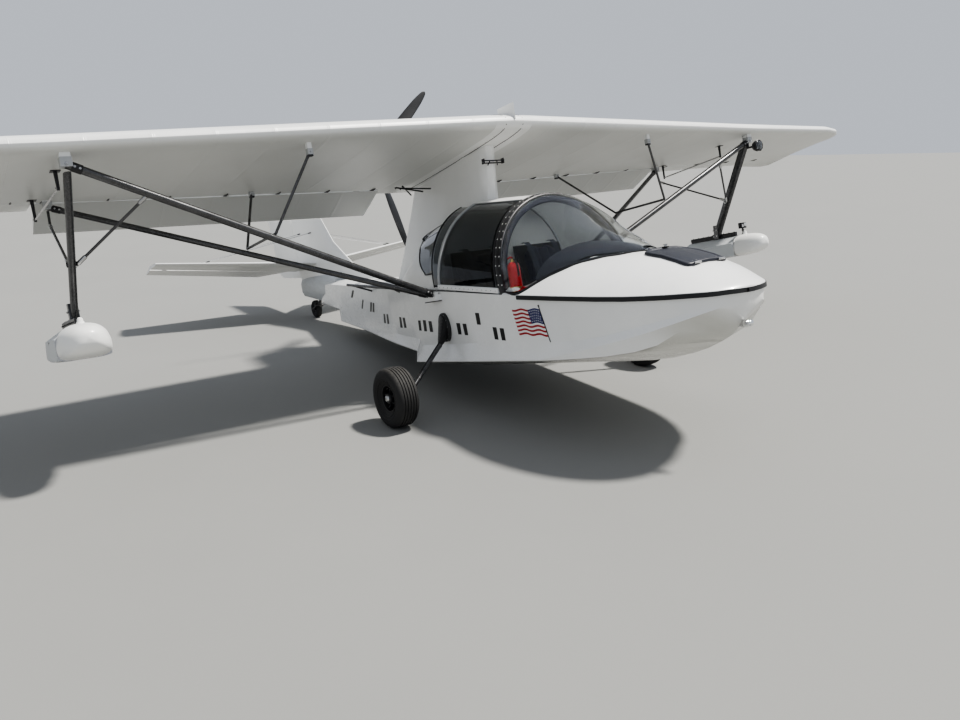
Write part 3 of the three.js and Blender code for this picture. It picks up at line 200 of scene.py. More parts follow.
def material(name, color, rough, metal=0.0, coat=0.0, tone=0.05, blotch=2.5, grain=240.0, relief=0.00003,
             stretch=(1, 1, 1), dust=0.0, grime=None, cells=None, weave=None, ribs=None, wear=0.0,
             bare=(0.5, 0.5, 0.5), glass=0.0, swing=0.15, bend=1.5, under=0.0):
    """A finish with blotches and grain, and where asked for pores, weave, ribs, dust, darkening towards the
    bottom, painted shade on downward faces, and wear.
    """
    wires = Wires(name)
    place = wires.place(stretch)
    broad, fine = wires.noise(place, blotch, 5.0, 0.6), wires.noise(place, grain, 3.0)
    tint = wires.mix(wires.spread(broad, 0.35, 0.65), rgb(color, 1 - tone), rgb(color, 1 + tone * 0.6))
    both = wires.math("ADD", wires.math("MULTIPLY", fine, 0.5), wires.math("MULTIPLY", broad, 0.5))
    roughness = wires.spread(both, 0.3, 0.7, rough * (1 - swing), min(1.0, rough * (1 + swing)))
    height = wires.math("MULTIPLY", fine, relief)
    if cells:
        scale, depth = cells
        pores = wires.node("ShaderNodeTexVoronoi", feature="DISTANCE_TO_EDGE")
        edge = wires.feed(pores, {"Vector": place, "Scale": scale}).outputs[0]
        height = wires.math("ADD", height, wires.spread(edge, 0.0, 0.25, 0.0, depth, smooth=True))
    if weave:
        height = wires.math("ADD", height, weave_height(wires, place, *weave))
    if ribs:
        ridge, tape = rib_height(wires, *ribs)
        height = wires.math("ADD", height, ridge)
        tint = wires.mix(wires.math("MULTIPLY", tape, 160.0), tint, rgb(color, 1.04))

    def cover(level, patches, over, rougher=0.0):
        nonlocal tint, roughness
        film = wires.math("MULTIPLY", level, patches)
        tint = wires.mix(film, tint, rgb(over))
        if rougher:
            roughness = wires.math("ADD", roughness, wires.math("MULTIPLY", film, rougher))

    if dust:
        cover(wires.spread(wires.part(wires.geometry("Normal")), 0.2, 0.95, 0.0, dust),
              wires.spread(wires.noise(place, blotch * 7, 6.0, 0.7), 0.35, 0.75), DUST, 0.3)
    # Darker and rougher towards the bottom: a brownish tint in patches that grows below a given height.
    if grime:
        low, high, amount = grime
        cover(wires.spread(wires.part(wires.place()), high, low, 0.0, amount, smooth=True),
              wires.spread(wires.noise(wires.place((1, 1, 5)), 6.0, 8.0, 0.7), 0.35, 0.7), LOW_DARKENING_TINT, 0.35)
    # Painted shade: downward-facing surfaces get a darker olive tint in patches, standing in for the shade and
    # ground reflection under the hull, wings and tail.
    if under:
        cover(wires.spread(wires.part(wires.geometry("Normal")), -0.15, -0.75, 0.0, under, smooth=True),
              wires.spread(wires.noise(place, blotch * 2, 5.0, 0.6), 0.2, 0.8, 0.75, 1.0), UNDERSIDE_SHADE_TINT)
    if wear:
        cover(wires.spread(wires.geometry("Pointiness"), 0.52, 0.6, 0.0, wear, smooth=True),
              wires.spread(wires.noise(place, 60.0, 4.0, 0.7), 0.4, 0.65), bare)
    bump = wires.feed(wires.node("ShaderNodeBump"), {"Strength": 1.0, "Distance": 1.0, "Height": height})
    wires.feed(wires.tree.nodes["Principled BSDF"], {
        "Base Color": tint, "Roughness": roughness, "Metallic": metal, "Coat Weight": coat,
        "Coat Roughness": COAT_ROUGHNESS, "Transmission Weight": glass, "IOR": bend, "Normal": bump.outputs[0]})
    return wires.made


WHITE = (0.84, 0.84, 0.82)


def finish(color, rough, **more):
    return dict(color=color, rough=rough, **more)


# Gelcoat, wing and tail carry painted shade on their downward faces.
FINISHES = {
    # Gelcoat and float are made darker towards the bottom.
    "gelcoat": finish(WHITE, 0.26, coat=0.35, tone=0.025, relief=0.000012, grime=(0.1, 0.6, 0.2), under=0.55),
    "deck": finish((0.87, 0.87, 0.855), 0.3, coat=0.3, tone=0.02, relief=0.000015, dust=0.05),
    "upper": finish(WHITE, 0.32, coat=0.2, tone=0.03, relief=0.00002, dust=0.08),
    "wing": finish((0.82, 0.825, 0.81), 0.36, tone=0.03, relief=0.00001, weave=(0.0016, 0.00001),
                   ribs=(0, 0.33), dust=0.05, under=0.3),
    "tail": finish((0.83, 0.83, 0.82), 0.38, tone=0.03, relief=0.00001, weave=(0.0016, 0.00001),
                   ribs=(0, 0.24), dust=0.05, under=0.3),
    "float": finish((0.56, 0.585, 0.6), 0.4, tone=0.05, relief=0.00003, dust=0.08, grime=(0.4, 0.75, 0.3)),
    "nose": finish((0.86, 0.86, 0.835), 0.33, coat=0.2, tone=0.03, relief=0.00002),
    "black": finish((0.008, 0.008, 0.01), 0.36, tone=0.25, relief=0.00003, dust=0.03, wear=0.2,
                    bare=(0.06, 0.06, 0.06)),
    "rubber": finish((0.01, 0.01, 0.011), 0.5, tone=0.3, relief=0.0001, dust=0.05),
    "bellows": finish((0.02, 0.02, 0.021), 0.38, tone=0.3, relief=0.00006, dust=0.04),
    "tyre": finish((0.016, 0.016, 0.016), 0.75, tone=0.3, blotch=9, grain=420, relief=0.0002, dust=0.15,
                   wear=0.15, bare=(0.1, 0.095, 0.085)),
    "tube": finish((0.085, 0.085, 0.088), 0.28, metal=0.85, tone=0.2, blotch=5, stretch=(3, 3, 3),
                   relief=0.00002, dust=0.05, wear=0.25, bare=(0.3, 0.3, 0.3)),
    "steel": finish((0.5, 0.5, 0.5), 0.28, metal=1.0, tone=0.12, blotch=12, relief=0.00003, dust=0.1),
    "alloy": finish((0.42, 0.43, 0.44), 0.5, metal=0.8, tone=0.15, blotch=15, grain=320, relief=0.0002,
                    dust=0.25),
    "grey": finish((0.42, 0.43, 0.43), 0.38, metal=0.25, tone=0.06, relief=0.00002, dust=0.15, wear=0.4),
    "vinyl": finish((0.01, 0.013, 0.028), 0.55, tone=0.25, blotch=6, cells=(420, 0.00022), relief=0.00005,
                    dust=0.03),
    "lid": finish((0.009, 0.011, 0.02), 0.38, tone=0.2, blotch=6, cells=(260, 0.0001), relief=0.00003,
                  dust=0.05),
    "leather": finish((0.006, 0.009, 0.03), 0.55, tone=0.2, blotch=8, cells=(300, 0.00035), relief=0.00006,
                      wear=0.1, bare=(0.03, 0.035, 0.06)),
    "thread": finish((0.3, 0.3, 0.31), 0.75, tone=0.2, blotch=60, relief=0.0001),
    "webbing": finish((0.045, 0.05, 0.07), 0.8, tone=0.2, blotch=40, weave=(0.0022, 0.0002)),
    "carpet": finish((0.07, 0.072, 0.078), 0.95, tone=0.35, blotch=12, grain=700, relief=0.0012, dust=0.2),
    "red": finish((0.5, 0.006, 0.008), 0.28, coat=0.5, tone=0.1, relief=0.00002),
    "brass": finish((0.62, 0.45, 0.18), 0.32, metal=1.0, tone=0.1, relief=0.00003),
    "flag_red": finish((0.36, 0.003, 0.01), 0.45, tone=0.08),
    "flag_blue": finish((0.003, 0.009, 0.11), 0.45, tone=0.08),
    "flag_white": finish((0.83, 0.82, 0.8), 0.42, tone=0.03),
    "mark": finish((0.006, 0.006, 0.006), 0.42, tone=0.3),
    "clear": finish((0.93, 0.95, 0.95), 0.02, glass=1.0, tone=0.01, relief=0.0, swing=0.5, bend=1.22),
    "tinted": finish((0.2, 0.215, 0.225), 0.03, glass=1.0, tone=0.04, relief=0.0, swing=0.5, bend=1.3),
    "dark_glass": finish((0.045, 0.055, 0.065), 0.06, coat=0.6, tone=0.15, blotch=1.5, relief=0.0, dust=0.05),
    "blade": finish((0.01, 0.01, 0.011), 0.3, coat=0.2, tone=0.2, relief=0.00004, wear=0.2,
                    bare=(0.2, 0.2, 0.2)),
    "dial": finish((0.012, 0.012, 0.013), 0.5, tone=0.2, relief=0.00002),
    "mirror": finish((0.85, 0.86, 0.87), 0.12, metal=1.0, tone=0.03, relief=0.00004),
    "lens": finish((0.93, 0.95, 0.95), 0.05, glass=1.0, tone=0.01, cells=(90, 0.0004), relief=0.0),
}
LOOKS = {name: material(name, **settings) for name, settings in FINISHES.items()}

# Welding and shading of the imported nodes

WELD_DISTANCE = 0.0001


@functools.lru_cache(maxsize=None)
def smoother(angle):
    """Geometry nodes that close a mesh's seams and shade it smooth where it bends by less than an angle."""
    group = bpy.data.node_groups.new(f"smooth_{angle}", "GeometryNodeTree")
    for way in ("INPUT", "OUTPUT"):
        group.interface.new_socket("Geometry", in_out=way, socket_type="NodeSocketGeometry")
    add, link = group.nodes.new, group.links.new
    start, end, weld = add("NodeGroupInput"), add("NodeGroupOutput"), add("GeometryNodeMergeByDistance")
    weld.inputs["Distance"].default_value = WELD_DISTANCE
    faces, edges = add("GeometryNodeSetShadeSmooth"), add("GeometryNodeSetShadeSmooth")
    faces.domain, edges.domain = "FACE", "EDGE"
    edges.inputs["Shade Smooth"].default_value = False
    sharp = add("FunctionNodeCompare")
    sharp.data_type, sharp.operation = "FLOAT", "GREATER_THAN"
    sharp.inputs[1].default_value = math.radians(angle)
    link(start.outputs[0], weld.inputs["Geometry"])
    link(weld.outputs[0], faces.inputs["Geometry"])
    link(faces.outputs[0], edges.inputs["Geometry"])
    link(add("GeometryNodeInputMeshEdgeAngle").outputs["Unsigned Angle"], sharp.inputs[0])
    link(sharp.outputs[0], edges.inputs["Selection"])
    link(edges.outputs[0], end.inputs[0])
    return group


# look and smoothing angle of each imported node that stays
KEPT = {
    "hull": ("gelcoat", 24), "foredeck": ("deck", 30), "rub_rail": ("rubber", 40), "canopy_roof": ("upper", 30),
    "pylon": ("upper", 40), "rear_fairing": ("upper", 40), "wing_centre": ("upper", 30),
    "tail_cone": ("float", 30), "fin": ("upper", 40), "rudder": ("upper", 30), "engine_cowl": ("upper", 24),
    "engine": ("alloy", 30), "engine_mount": ("tube", 30), "cockpit_floor": ("carpet", 30),
    "glareshield": ("vinyl", 40), "tailwheel_arm": ("tube", 40), "tailwheel_fork": ("tube", 40),
    "instrument_panel": ("dial", 30),
}
KEPT_PAIRS = {
    "wing": ("wing", 30), "flap": ("wing", 30), "aileron": ("wing", 30), "stabilizer": ("tail", 40),
    "elevator": ("tail", 30), "slide_rail": ("tube", 50), "lift_strut_front": ("tube", 50),
    "lift_strut_rear": ("tube", 50), "jury_strut": ("tube", 50), "float_strut": ("tube", 50),
    "gear_leg": ("tube", 50),
}


def dress_nodes():
    pairs = {f"{name}_{side}": finish for name, finish in KEPT_PAIRS.items() for side, _, _ in SIDES}
    for node, (look, angle) in {**KEPT, **pairs}.items():
        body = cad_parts[node]
        for item in body.material_slots:
            item.material = LOOKS[look]
        if not body.material_slots:
            body.data.materials.append(LOOKS[look])
        body.modifiers.new("smooth", "NODES").node_group = smoother(angle)


# Making pieces

DOUBLE_DISTANCE = 0.00002


def link_object(name, data):
    made = bpy.data.objects.new(name, data)
    bpy.context.scene.collection.objects.link(made)
    return made


def ring_round(centre, along, radius, sides, up=None, squash=1.0):
    along = Vector(along).normalized()
    first = Vector(up) if up else along.orthogonal()
    first = (first - along * first.dot(along)).normalized()
    second = along.cross(first)
    return [tuple(Vector(centre) + first * (radius * math.cos(t)) + second * (radius * squash * math.sin(t)))
            for t in circle(sides)]


class Build:
    """Collects points in aircraft millimetres from an origin, and faces, and makes one riding piece of them."""

    def __init__(self, sign=1, origin=CENTRE):
        self.sign, self.origin, self.points, self.faces, self.looks = sign, origin, [], [], []

    def put(self, points, faces, look=0):
        base, (x, y, z) = len(self.points), self.origin
        self.points += [((p[0] + x) * self.sign, p[1] + y, p[2] + z) for p in points]
        for face in faces:
            self.faces.append([base + i for i in (face if self.sign > 0 else face[::-1])])
            self.looks.append(look)
        return self

    def loft(self, rings, look=0, ends=True, closed=True):
        count = len(rings[0])
        last = (len(rings) - 1) * count
        faces = [[r + i, r + (i + 1) % count, r + count + (i + 1) % count, r + count + i]
                 for r in range(0, last, count) for i in range(count if closed else count - 1)]
        if ends:
            faces += [list(range(count))[::-1], [last + i for i in range(count)]]
        return self.put([p for ring in rings for p in ring], faces, look)

    def sheet(self, rows, look=0):
        return self.loft(rows, look, ends=False, closed=False)

    def turned(self, profile, centre, axis, sides=48, look=0, loop=False, squash=1.0, up=None):
        """A shape turned about an axis: profile rows are distance along the axis and radius."""
        along = Vector(axis).normalized()
        rings = [ring_round(Vector(centre) + along * a, along, max(r, 0.01), sides, up, squash)
                 for a, r in profile]
        return self.loft(rings + rings[:1] if loop else rings, look, ends=not loop)

    def tube(self, path, radius, sides=12, look=0, squash=1.0, up=None):
        path = [Vector(p) for p in path]
        radii = radius if isinstance(radius, (list, tuple)) else [radius] * len(path)
        rings, first = [], Vector(up) if up else None
        for i, point in enumerate(path):
            along = (path[min(i + 1, len(path) - 1)] - path[max(i - 1, 0)]).normalized()
            first = along.orthogonal() if first is None else first
            first = (first - along * first.dot(along)).normalized()
            rings.append(ring_round(point, along, radii[i], sides, first, squash))
        return self.loft(rings, look)

    def block(self, low, high, look=0, edge=2.0):
        """A box with rounded edges."""
        shape = bmesh.new()
        bmesh.ops.create_cube(shape, size=1)
        low, high = Vector(low), Vector(high)
        size, centre = high - low, (high + low) / 2
        for vert in shape.verts:
            vert.co = centre + Vector([vert.co[k] * size[k] for k in range(3)])
        bmesh.ops.bevel(shape, geom=shape.edges[:], offset=min(edge, min(size) * 0.4), segments=2,
                        affect="EDGES", profile=0.5)
        shape.verts.index_update()
        points, faces = [tuple(v.co) for v in shape.verts], [[v.index for v in f.verts] for f in shape.faces]
        shape.free()
        return self.put(points, faces, look)

    def rivet(self, point, normal, radius=4.0, look=0):
        rows = [(-1.0, radius), (radius * 0.24, radius * 0.9), (radius * 0.48, radius * 0.6),
                (radius * 0.6, radius * 0.15)]
        return self.turned(rows, point, normal, 8, look)

    def bolt(self, point, normal, radius=7.0, look=0):
        """A washer, a hexagon nut and the bolt's end."""
        stem = radius * 0.45
        self.turned([(-1, radius * 1.35), (1.5, radius * 1.35)], point, normal, 16, look)
        self.turned([(1.5, radius), (radius * 0.9, radius), (radius, radius * 0.85)], point, normal, 6, look)
        self.turned([(0, stem), (radius * 1.5, stem), (radius * 1.6, radius * 0.35)], point, normal, 10, look)

    def done(self, name, slot, looks, swaps=(), smooth=35, solid=0.0, bevel=0.0, body="airframe"):
        mesh = bpy.data.meshes.new(name)
        mesh.from_pydata([CRAFT @ Vector(p) for p in self.points], [], self.faces)
        for look in looks:
            mesh.materials.append(LOOKS[look])
        mesh.polygons.foreach_set("material_index", self.looks)
        shape = bmesh.new()
        shape.from_mesh(mesh)
        bmesh.ops.remove_doubles(shape, verts=shape.verts[:], dist=DOUBLE_DISTANCE)
        bmesh.ops.recalc_face_normals(shape, faces=shape.faces[:])
        shape.to_mesh(mesh)
        shape.free()
        mesh.polygons.foreach_set("use_smooth", [True] * len(mesh.polygons))
        mesh.set_sharp_from_angle(angle=math.radians(smooth))
        piece = link_object(name, mesh)
        if bevel:
            made = piece.modifiers.new("bevel", "BEVEL")
            made.width, made.segments, made.limit_method = bevel * MM, 2, "ANGLE"
        if solid:
            made = piece.modifiers.new("solid", "SOLIDIFY")
            made.thickness, made.offset = solid * MM, -1
        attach(piece, body)
        if swaps:
            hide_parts(*swaps)


class Skin:
    """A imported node's surface, for laying things on it."""

    def __init__(self, *nodes):
        points, faces = [], []
        for node in nodes:
            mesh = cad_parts[node].data
            base = len(points)
            points += [v.co.copy() for v in mesh.vertices]
            faces += [[base + i for i in face.vertices] for face in mesh.polygons]
        self.tree = BVHTree.FromPolygons(points, faces)

    def meet(self, origin, direction, proud=0.0):
        """Where a line in the parked frame meets the surface, in aircraft millimetres, with its normal."""
        point, normal, _, _ = self.tree.ray_cast(origin, direction)
        if point is None:
            return None
        if normal.dot(direction) > 0:
            normal = -normal
        flat = (DRAWN.to_3x3() @ normal).normalized()
        return DRAWN @ point + flat * proud, flat

    def seen(self, px, py, proud=0.0):
        """Where the camera's line through a picture point meets the surface."""
        ray = vec(px - PICTURE[0] / 2, PICTURE[1] / 2 - py, -FOCAL_PIXELS)
        return self.meet(CRAFT @ CAMERA_PLACE, (CAMERA_TURN.to_3x3() @ ray).normalized(), proud)

    def toward(self, point, direction, proud=0.0):
        """Where a line from a point in aircraft millimetres meets the surface."""
        return self.meet(CRAFT @ Vector(point), (CRAFT.to_3x3() @ Vector(direction)).normalized(), proud)


# Canopy

ARCH_FOOT = (-1095, 515)
ARCH_LEAN = 0.24
CANOPY = (568, 584)
SILL_AT_BACK = 604
CANOPY_BACK = -400
HATCH_BACK = -368
HATCH_TOP = math.acos(177 / 568)
SLOPE = 0.13

# sections swept round the canopy: gap aft of the arch or before the hatch's back, and depth under its skin
HOOP = [(-22, 0), (-19, -5), (-12, -7), (26, -7), (32, -5), (35, 0), (35, 9), (32, 12), (-19, 12), (-22, 9)]
LINING = [(-16, 14), (30, 14), (36, 22), (34, 48), (24, 58), (-6, 58), (-16, 48), (-20, 24)]
HATCH_HOOP = [(0, -5), (3, -8), (19, -8), (22, -5), (22, 4), (19, 6.5), (3, 6.5), (0, 4)]
HATCH_LIP = [(42, -2), (44, -3), (56, -3), (58, -1), (58, 6), (42, 6)]
# the hatch's sill rail, outward and up
HATCH_SILL = [(-6, -0.5), (-6, 30), (-3, 33), (3, 33), (9, 29), (11, 24), (11, 3), (8, -0.5)]


def sill(y):
    return SILL_AT_BACK + SLOPE * (y - CANOPY_BACK)


def canopy_point(angle, y, inset):
    return ((CANOPY[0] - inset) * math.cos(angle), y, sill(y) + (CANOPY[1] - inset) * math.sin(angle))


def arch_point(angle, inset, gap):
    """Where the canopy's line at this angle meets the leaning arch plane, moved aft by a gap."""
    rise = (CANOPY[1] - inset) * math.sin(angle)
    level = SILL_AT_BACK - SLOPE * CANOPY_BACK + rise - ARCH_FOOT[1]
    y = (ARCH_FOOT[0] + gap + ARCH_LEAN * level) / (1 - ARCH_LEAN * SLOPE)
    return canopy_point(angle, y, inset)


def back_point(angle, inset, gap):
    """The canopy's line before the hatch's back edge by a gap."""
    return canopy_point(angle, HATCH_BACK - gap, inset)


def swept(build, section, point, start, end, count, look=0):
    angles = steps(start, end, count)
    build.loft([[point(angle, inset, gap) for gap, inset in section] for angle in angles], look)


def arch():
    hoop, band = Build(), Build()
    swept(hoop, HOOP, arch_point, -0.02, math.pi + 0.02, 72)
    for gap in (-11, 24):
        for angle in steps(0, math.pi, 32)[1:-1]:
            outer, inner = Vector(arch_point(angle, -7, gap)), Vector(arch_point(angle, 40, gap))
            hoop.rivet(outer, outer - inner, 4.6, 1)
    hoop.done("windscreen_arch_hoop", "black_trim", ["black", "nose"], ["windscreen_arch"])
    swept(band, LINING, arch_point, 0.03, math.pi - 0.03, 72)
    band.done("windscreen_arch_lining", "cabin_vinyl", ["leather"], smooth=60, bevel=3)


# windscreen hoops from the arch forward: half width, foot y and z, top y and z
HOOPS = [
    (568, -1119, 513, -975, 1113), (576, -1250, 508, -1010, 1090), (478, -1368, 566, -1062, 1042),
    (380, -1475, 612, -1155, 972), (262, -1605, 638, -1310, 875), (130, -1728, 640, -1524, 766),
    (40, -1802, 642, -1776, 657),
]
GASKET_FRONT = [(24, -1812, 643), (0, -1816, 644), (-24, -1812, 643)]


def windscreen():
    hoops, pane, trim, deck = curve(HOOPS, 5), Build(), Build(), Skin("foredeck")
    turns = [(math.cos(angle), math.sin(angle)) for angle in steps(0, math.pi, 56)]
    pane.sheet([[(width * c, lerp(foot_y, top_y, s), lerp(foot_z, top_z, s)) for c, s in turns]
                for width, foot_y, foot_z, top_y, top_z in hoops])
    pane.done("windscreen_pane", "clear_glazing", ["clear"], ["windscreen"], smooth=60, solid=4)
    feet = [(w, y, z) for w, y, z, _, _ in hoops]
    laid = []
    for x, y, z in feet + GASKET_FRONT + [(-x, y, z) for x, y, z in reversed(feet)]:
        hit = deck.toward((x * 1.004, y, z + 300), -UP, 1.5)
        laid.append(tuple(hit[0]) if hit and abs(hit[0].z - z) < 40 else (x * 1.004, y, z + 1))
    radii = [lerp(4, 8, min(1.0, abs(i - len(laid) // 2) / 8)) for i in range(len(laid))]
    trim.tube(laid, radii, 10, squash=0.62, up=UP)
    trim.done("windscreen_gasket", "black_trim", ["rubber"])


def hatches():
    for side, words, sign in SIDES:
        body, pane, rim, rings = f"hatch_{words}", Build(sign), Build(sign), []
        for angle in steps(0.03, HATCH_TOP, 30):
            front, back = Vector(arch_point(angle, 0, 44)), Vector(back_point(angle, 0, 2))
            rings.append([front.lerp(back, t) for t in steps(0, 1, 14)])
        pane.sheet(rings)
        pane.done(f"hatch_pane_{side}", "tinted_glazing", ["tinted"], [f"canopy_hatch_{side}"], 60, solid=5,
                  body=body)
        swept(rim, HATCH_HOOP, back_point, 0.012, HATCH_TOP, 40)
        swept(rim, HATCH_LIP, arch_point, 0.02, HATCH_TOP, 40, 1)
        front, back = Vector(arch_point(0.01, 0, 42)), Vector(back_point(0.01, 0, 2))
        rim.loft([[(end.x + u, end.y, end.z + v) for u, v in HATCH_SILL] for end in (front, back)], 2)
        rim.tube([arch_point(HATCH_TOP, 0, 44), back_point(HATCH_TOP, 0, 2)], 9, 10, squash=0.5)
        for i in range(14):
            rim.rivet(front.lerp(back, (i + 0.5) / 14) + vec(11, 0, 15), ACROSS, 4, 3)
        for angle in steps(0.02, HATCH_TOP, 22)[1:-1]:
            spot = Vector(back_point(angle, -8, 11))
            rim.rivet(spot, spot - vec(0, spot.y, sill(spot.y)), 3, 3)
        rim.origin = front.lerp(back, 0.62) + vec(8, 0, 60)
        rim.tube([(-8, -45, 0), (8, -38, 0), (14, 0, 0), (8, 38, 0), (-8, 45, 0)], 5, 10, 1)
        rim.done(f"hatch_frame_{side}", "tinted_glazing", ["grey", "black", "nose", "steel"], body=body)


# aft edge of the side window behind the hatch, in the picture, from its foot up
WINDOW_EDGE = [(426.5, 275), (422, 267.5), (420.2, 257), (421.2, 247), (424, 240.5), (428.7, 234)]
PANE_FRONT = -362
PANE_INSET = 13
THIN_ARCH_FOOT, THIN_ARCH_START, THIN_ARCH_LEAN = -281, -279.4, 0.18


def thin_arch(angle, inset):
    """A point on the thin arch behind the hatches, which leans aft as it rises."""
    rise = (CANOPY[1] - inset) * math.sin(angle)
    return canopy_point(angle, (THIN_ARCH_START + THIN_ARCH_LEAN * rise) / (1 - THIN_ARCH_LEAN * SLOPE), inset)


def fairing_glass():
    """The smoked pane, thin arch and side window behind each hatch."""
    skin = Skin("rear_fairing", "pylon")
    hits = [skin.seen(px, py, 3)[0] for px, py in WINDOW_EDGE]
    edge = curve([(abs(hit.x), hit.y, hit.z) for hit in hits], 4)
    for side, _, sign in SIDES:
        pane, trim, rings, window = Build(sign), Build(sign), [], []
        for angle in steps(0.03, 1.25, 30):
            start = Vector(canopy_point(angle, PANE_FRONT, PANE_INSET))
            end = Vector(thin_arch(angle, PANE_INSET))
            rings.append([start.lerp(end, t) for t in steps(0, 1, 4)])
        pane.sheet(rings)
        for point in edge:
            rise = (point[2] - sill(THIN_ARCH_FOOT)) / CANOPY[1]
            front, row = Vector(thin_arch(math.asin(max(0.03, rise)), PANE_INSET + 4)), []
            for t in steps(0, 1, 16):
                spot = front.lerp(Vector(point), t)
                hit = skin.toward((1200 * sign, spot.y, spot.z), (-sign, 0, 0), 7)
                row.append((max(spot.x, abs(hit[0].x)) if hit else spot.x, spot.y, spot.z))
            window.append(row)
        pane.sheet(window)
        pane.done(f"rear_pane_{side}", "tinted_glazing", ["dark_glass"], smooth=60, solid=2)
        trim.tube([thin_arch(angle, PANE_INSET + 3) for angle in steps(0.02, 1.27, 50)], 4, 8)
        trim.tube(curve([window[0][0]] + [row[-1] for row in window] + [window[-1][0]], 3), 4.5, 8)
        trim.done(f"rear_pane_gasket_{side}", "black_trim", ["black"])


# Wheels and gear

# halves of the rims' sections: distance from the middle and radius
RIM = [(4, 86), (40, 85.5), (50, 88), (53, 86), (52, 80), (44, 77), (6, 76), (4, 80)]
TAIL_RIM = [(4, 44.5), (18, 44), (21, 46), (22, 42), (12, 34), (12, 16), (24, 14), (24, 7), (4, 7)]
HUB_BARREL = [(-56, 13), (-56, 31), (-50, 35), (50, 35), (56, 31), (56, 13)]
# half of a tyre's side: share of the half width, and share of the way from the rim to the tread
TYRE_SIDE = [(0.9, 0.22), (0.985, 0.45), (1, 0.6), (0.97, 0.74), (0.9, 0.85), (0.8, 0.925), (0.7, 0.965)]
LEG_TOP, LEG_FOOT = Vector((560, -385, 320)), Vector((1012, -529, -18))
# boot plate on the hull: x, half height, half width
BOOT_PLATE = ((566, 98, 60), (594, 99, 61), (600, 97, 59), (602, 91, 54), (601, 88, 52))
BOOT_Y, BOOT_Z, BOOT_FOLDS = -392, 354, 8


def tyre_profile(radius, inner, half, grooves, depth):
    """Closed section of a tyre: distance across and radius, with grooves round the tread."""
    side = [(-half * 0.66, inner), (-half * 0.76, inner + 6)]
    side += [(-half * across, lerp(inner, radius, up)) for across, up in TYRE_SIDE]
    rows, width = list(side), half * 0.034
    for groove in grooves:
        crown = lerp(radius, lerp(inner, radius, 0.965), (abs(groove) / 0.7) ** 2)
        for across, share in ((-1.6, 0), (-1, 0.3), (-0.7, 1), (0.7, 1), (1, 0.3), (1.6, 0)):
            rows.append((groove * half + width * across, crown - depth * share))
    return rows + [(-a, r) for a, r in reversed(side)]


def wheels():
    for side, _, sign in SIDES:
        tyre, rim = Build(sign, WHEEL_HUB), Build(sign, WHEEL_HUB)
        tyre.turned(tyre_profile(192, 86, 74, (-0.52, -0.27, 0.0, 0.27, 0.52), 5.5), CENTRE, ACROSS, 96,
                    loop=True)
        for face in (-1, 1):
            for across, radius in ((71, 112), (73.5, 132), (72, 150)):
                bead = [(face * (across - 2), radius - 1.4), (face * (across + 0.6), radius),
                        (face * (across - 2), radius + 1.4)]
                tyre.turned(bead, CENTRE, ACROSS, 72, loop=True)
            rim.turned([(face * across, radius) for across, radius in RIM], CENTRE, ACROSS, 72, loop=True)
            for turn in circle(5, 0.3):
                spoke = [round_x(turn) * reach + ACROSS * across * face
                         for reach, across in ((28, 34), (54, 22), (79, 30))]
                rim.tube(spoke, [11, 8, 10], 10, squash=0.7, up=ACROSS)
        rim.turned([(-9, 80), (-9, 30), (9, 30), (9, 80)], CENTRE, ACROSS, 48, loop=True)
        rim.turned(HUB_BARREL, CENTRE, ACROSS, 40, loop=True)
        for turn in circle(5, 0.9):
            rim.bolt(round_x(turn) * 62 + ACROSS * 9, ACROSS, 5, 1)
        rim.turned([(56, 24), (60, 24), (66, 20), (70, 12), (70.5, 4)], CENTRE, ACROSS, 32, 1)
        rim.tube([(30, 0, 70), (52, 0, 62)], [3.5, 2.5], 8, 1)
        tyre.done(f"main_tyre_body_{side}", "tyre_rubber", ["tyre"], [f"main_tyre_{side}"], 30,
                  body=f"wheel_{side}")
        rim.done(f"main_rim_body_{side}", "black_trim", ["black", "steel"], [f"main_rim_{side}"],
                 body=f"wheel_{side}")
    tail = Build(origin=TAIL_WHEEL_HUB)
    tail.turned(tyre_profile(92, 44, 27.5, (-0.3, 0.3), 3), CENTRE, ACROSS, 64, loop=True)
    for face in (-1, 1):
        tail.turned([(face * across, radius) for across, radius in TAIL_RIM], CENTRE, ACROSS, 40, 1, loop=True)
        for turn in circle(4, 0.4):
            tail.bolt(round_x(turn) * 25 + ACROSS * 12 * face, ACROSS * face, 3, 2)
    tail.done("tail_wheel_body", "tyre_rubber", ["tyre", "black", "steel"], ["tail_wheel"], 30,
              body="tail_roller")


def oval(x, tall, wide, y, z):
    return [(x, y + wide * math.cos(turn), z + tall * math.sin(turn)) for turn in circle(56)]


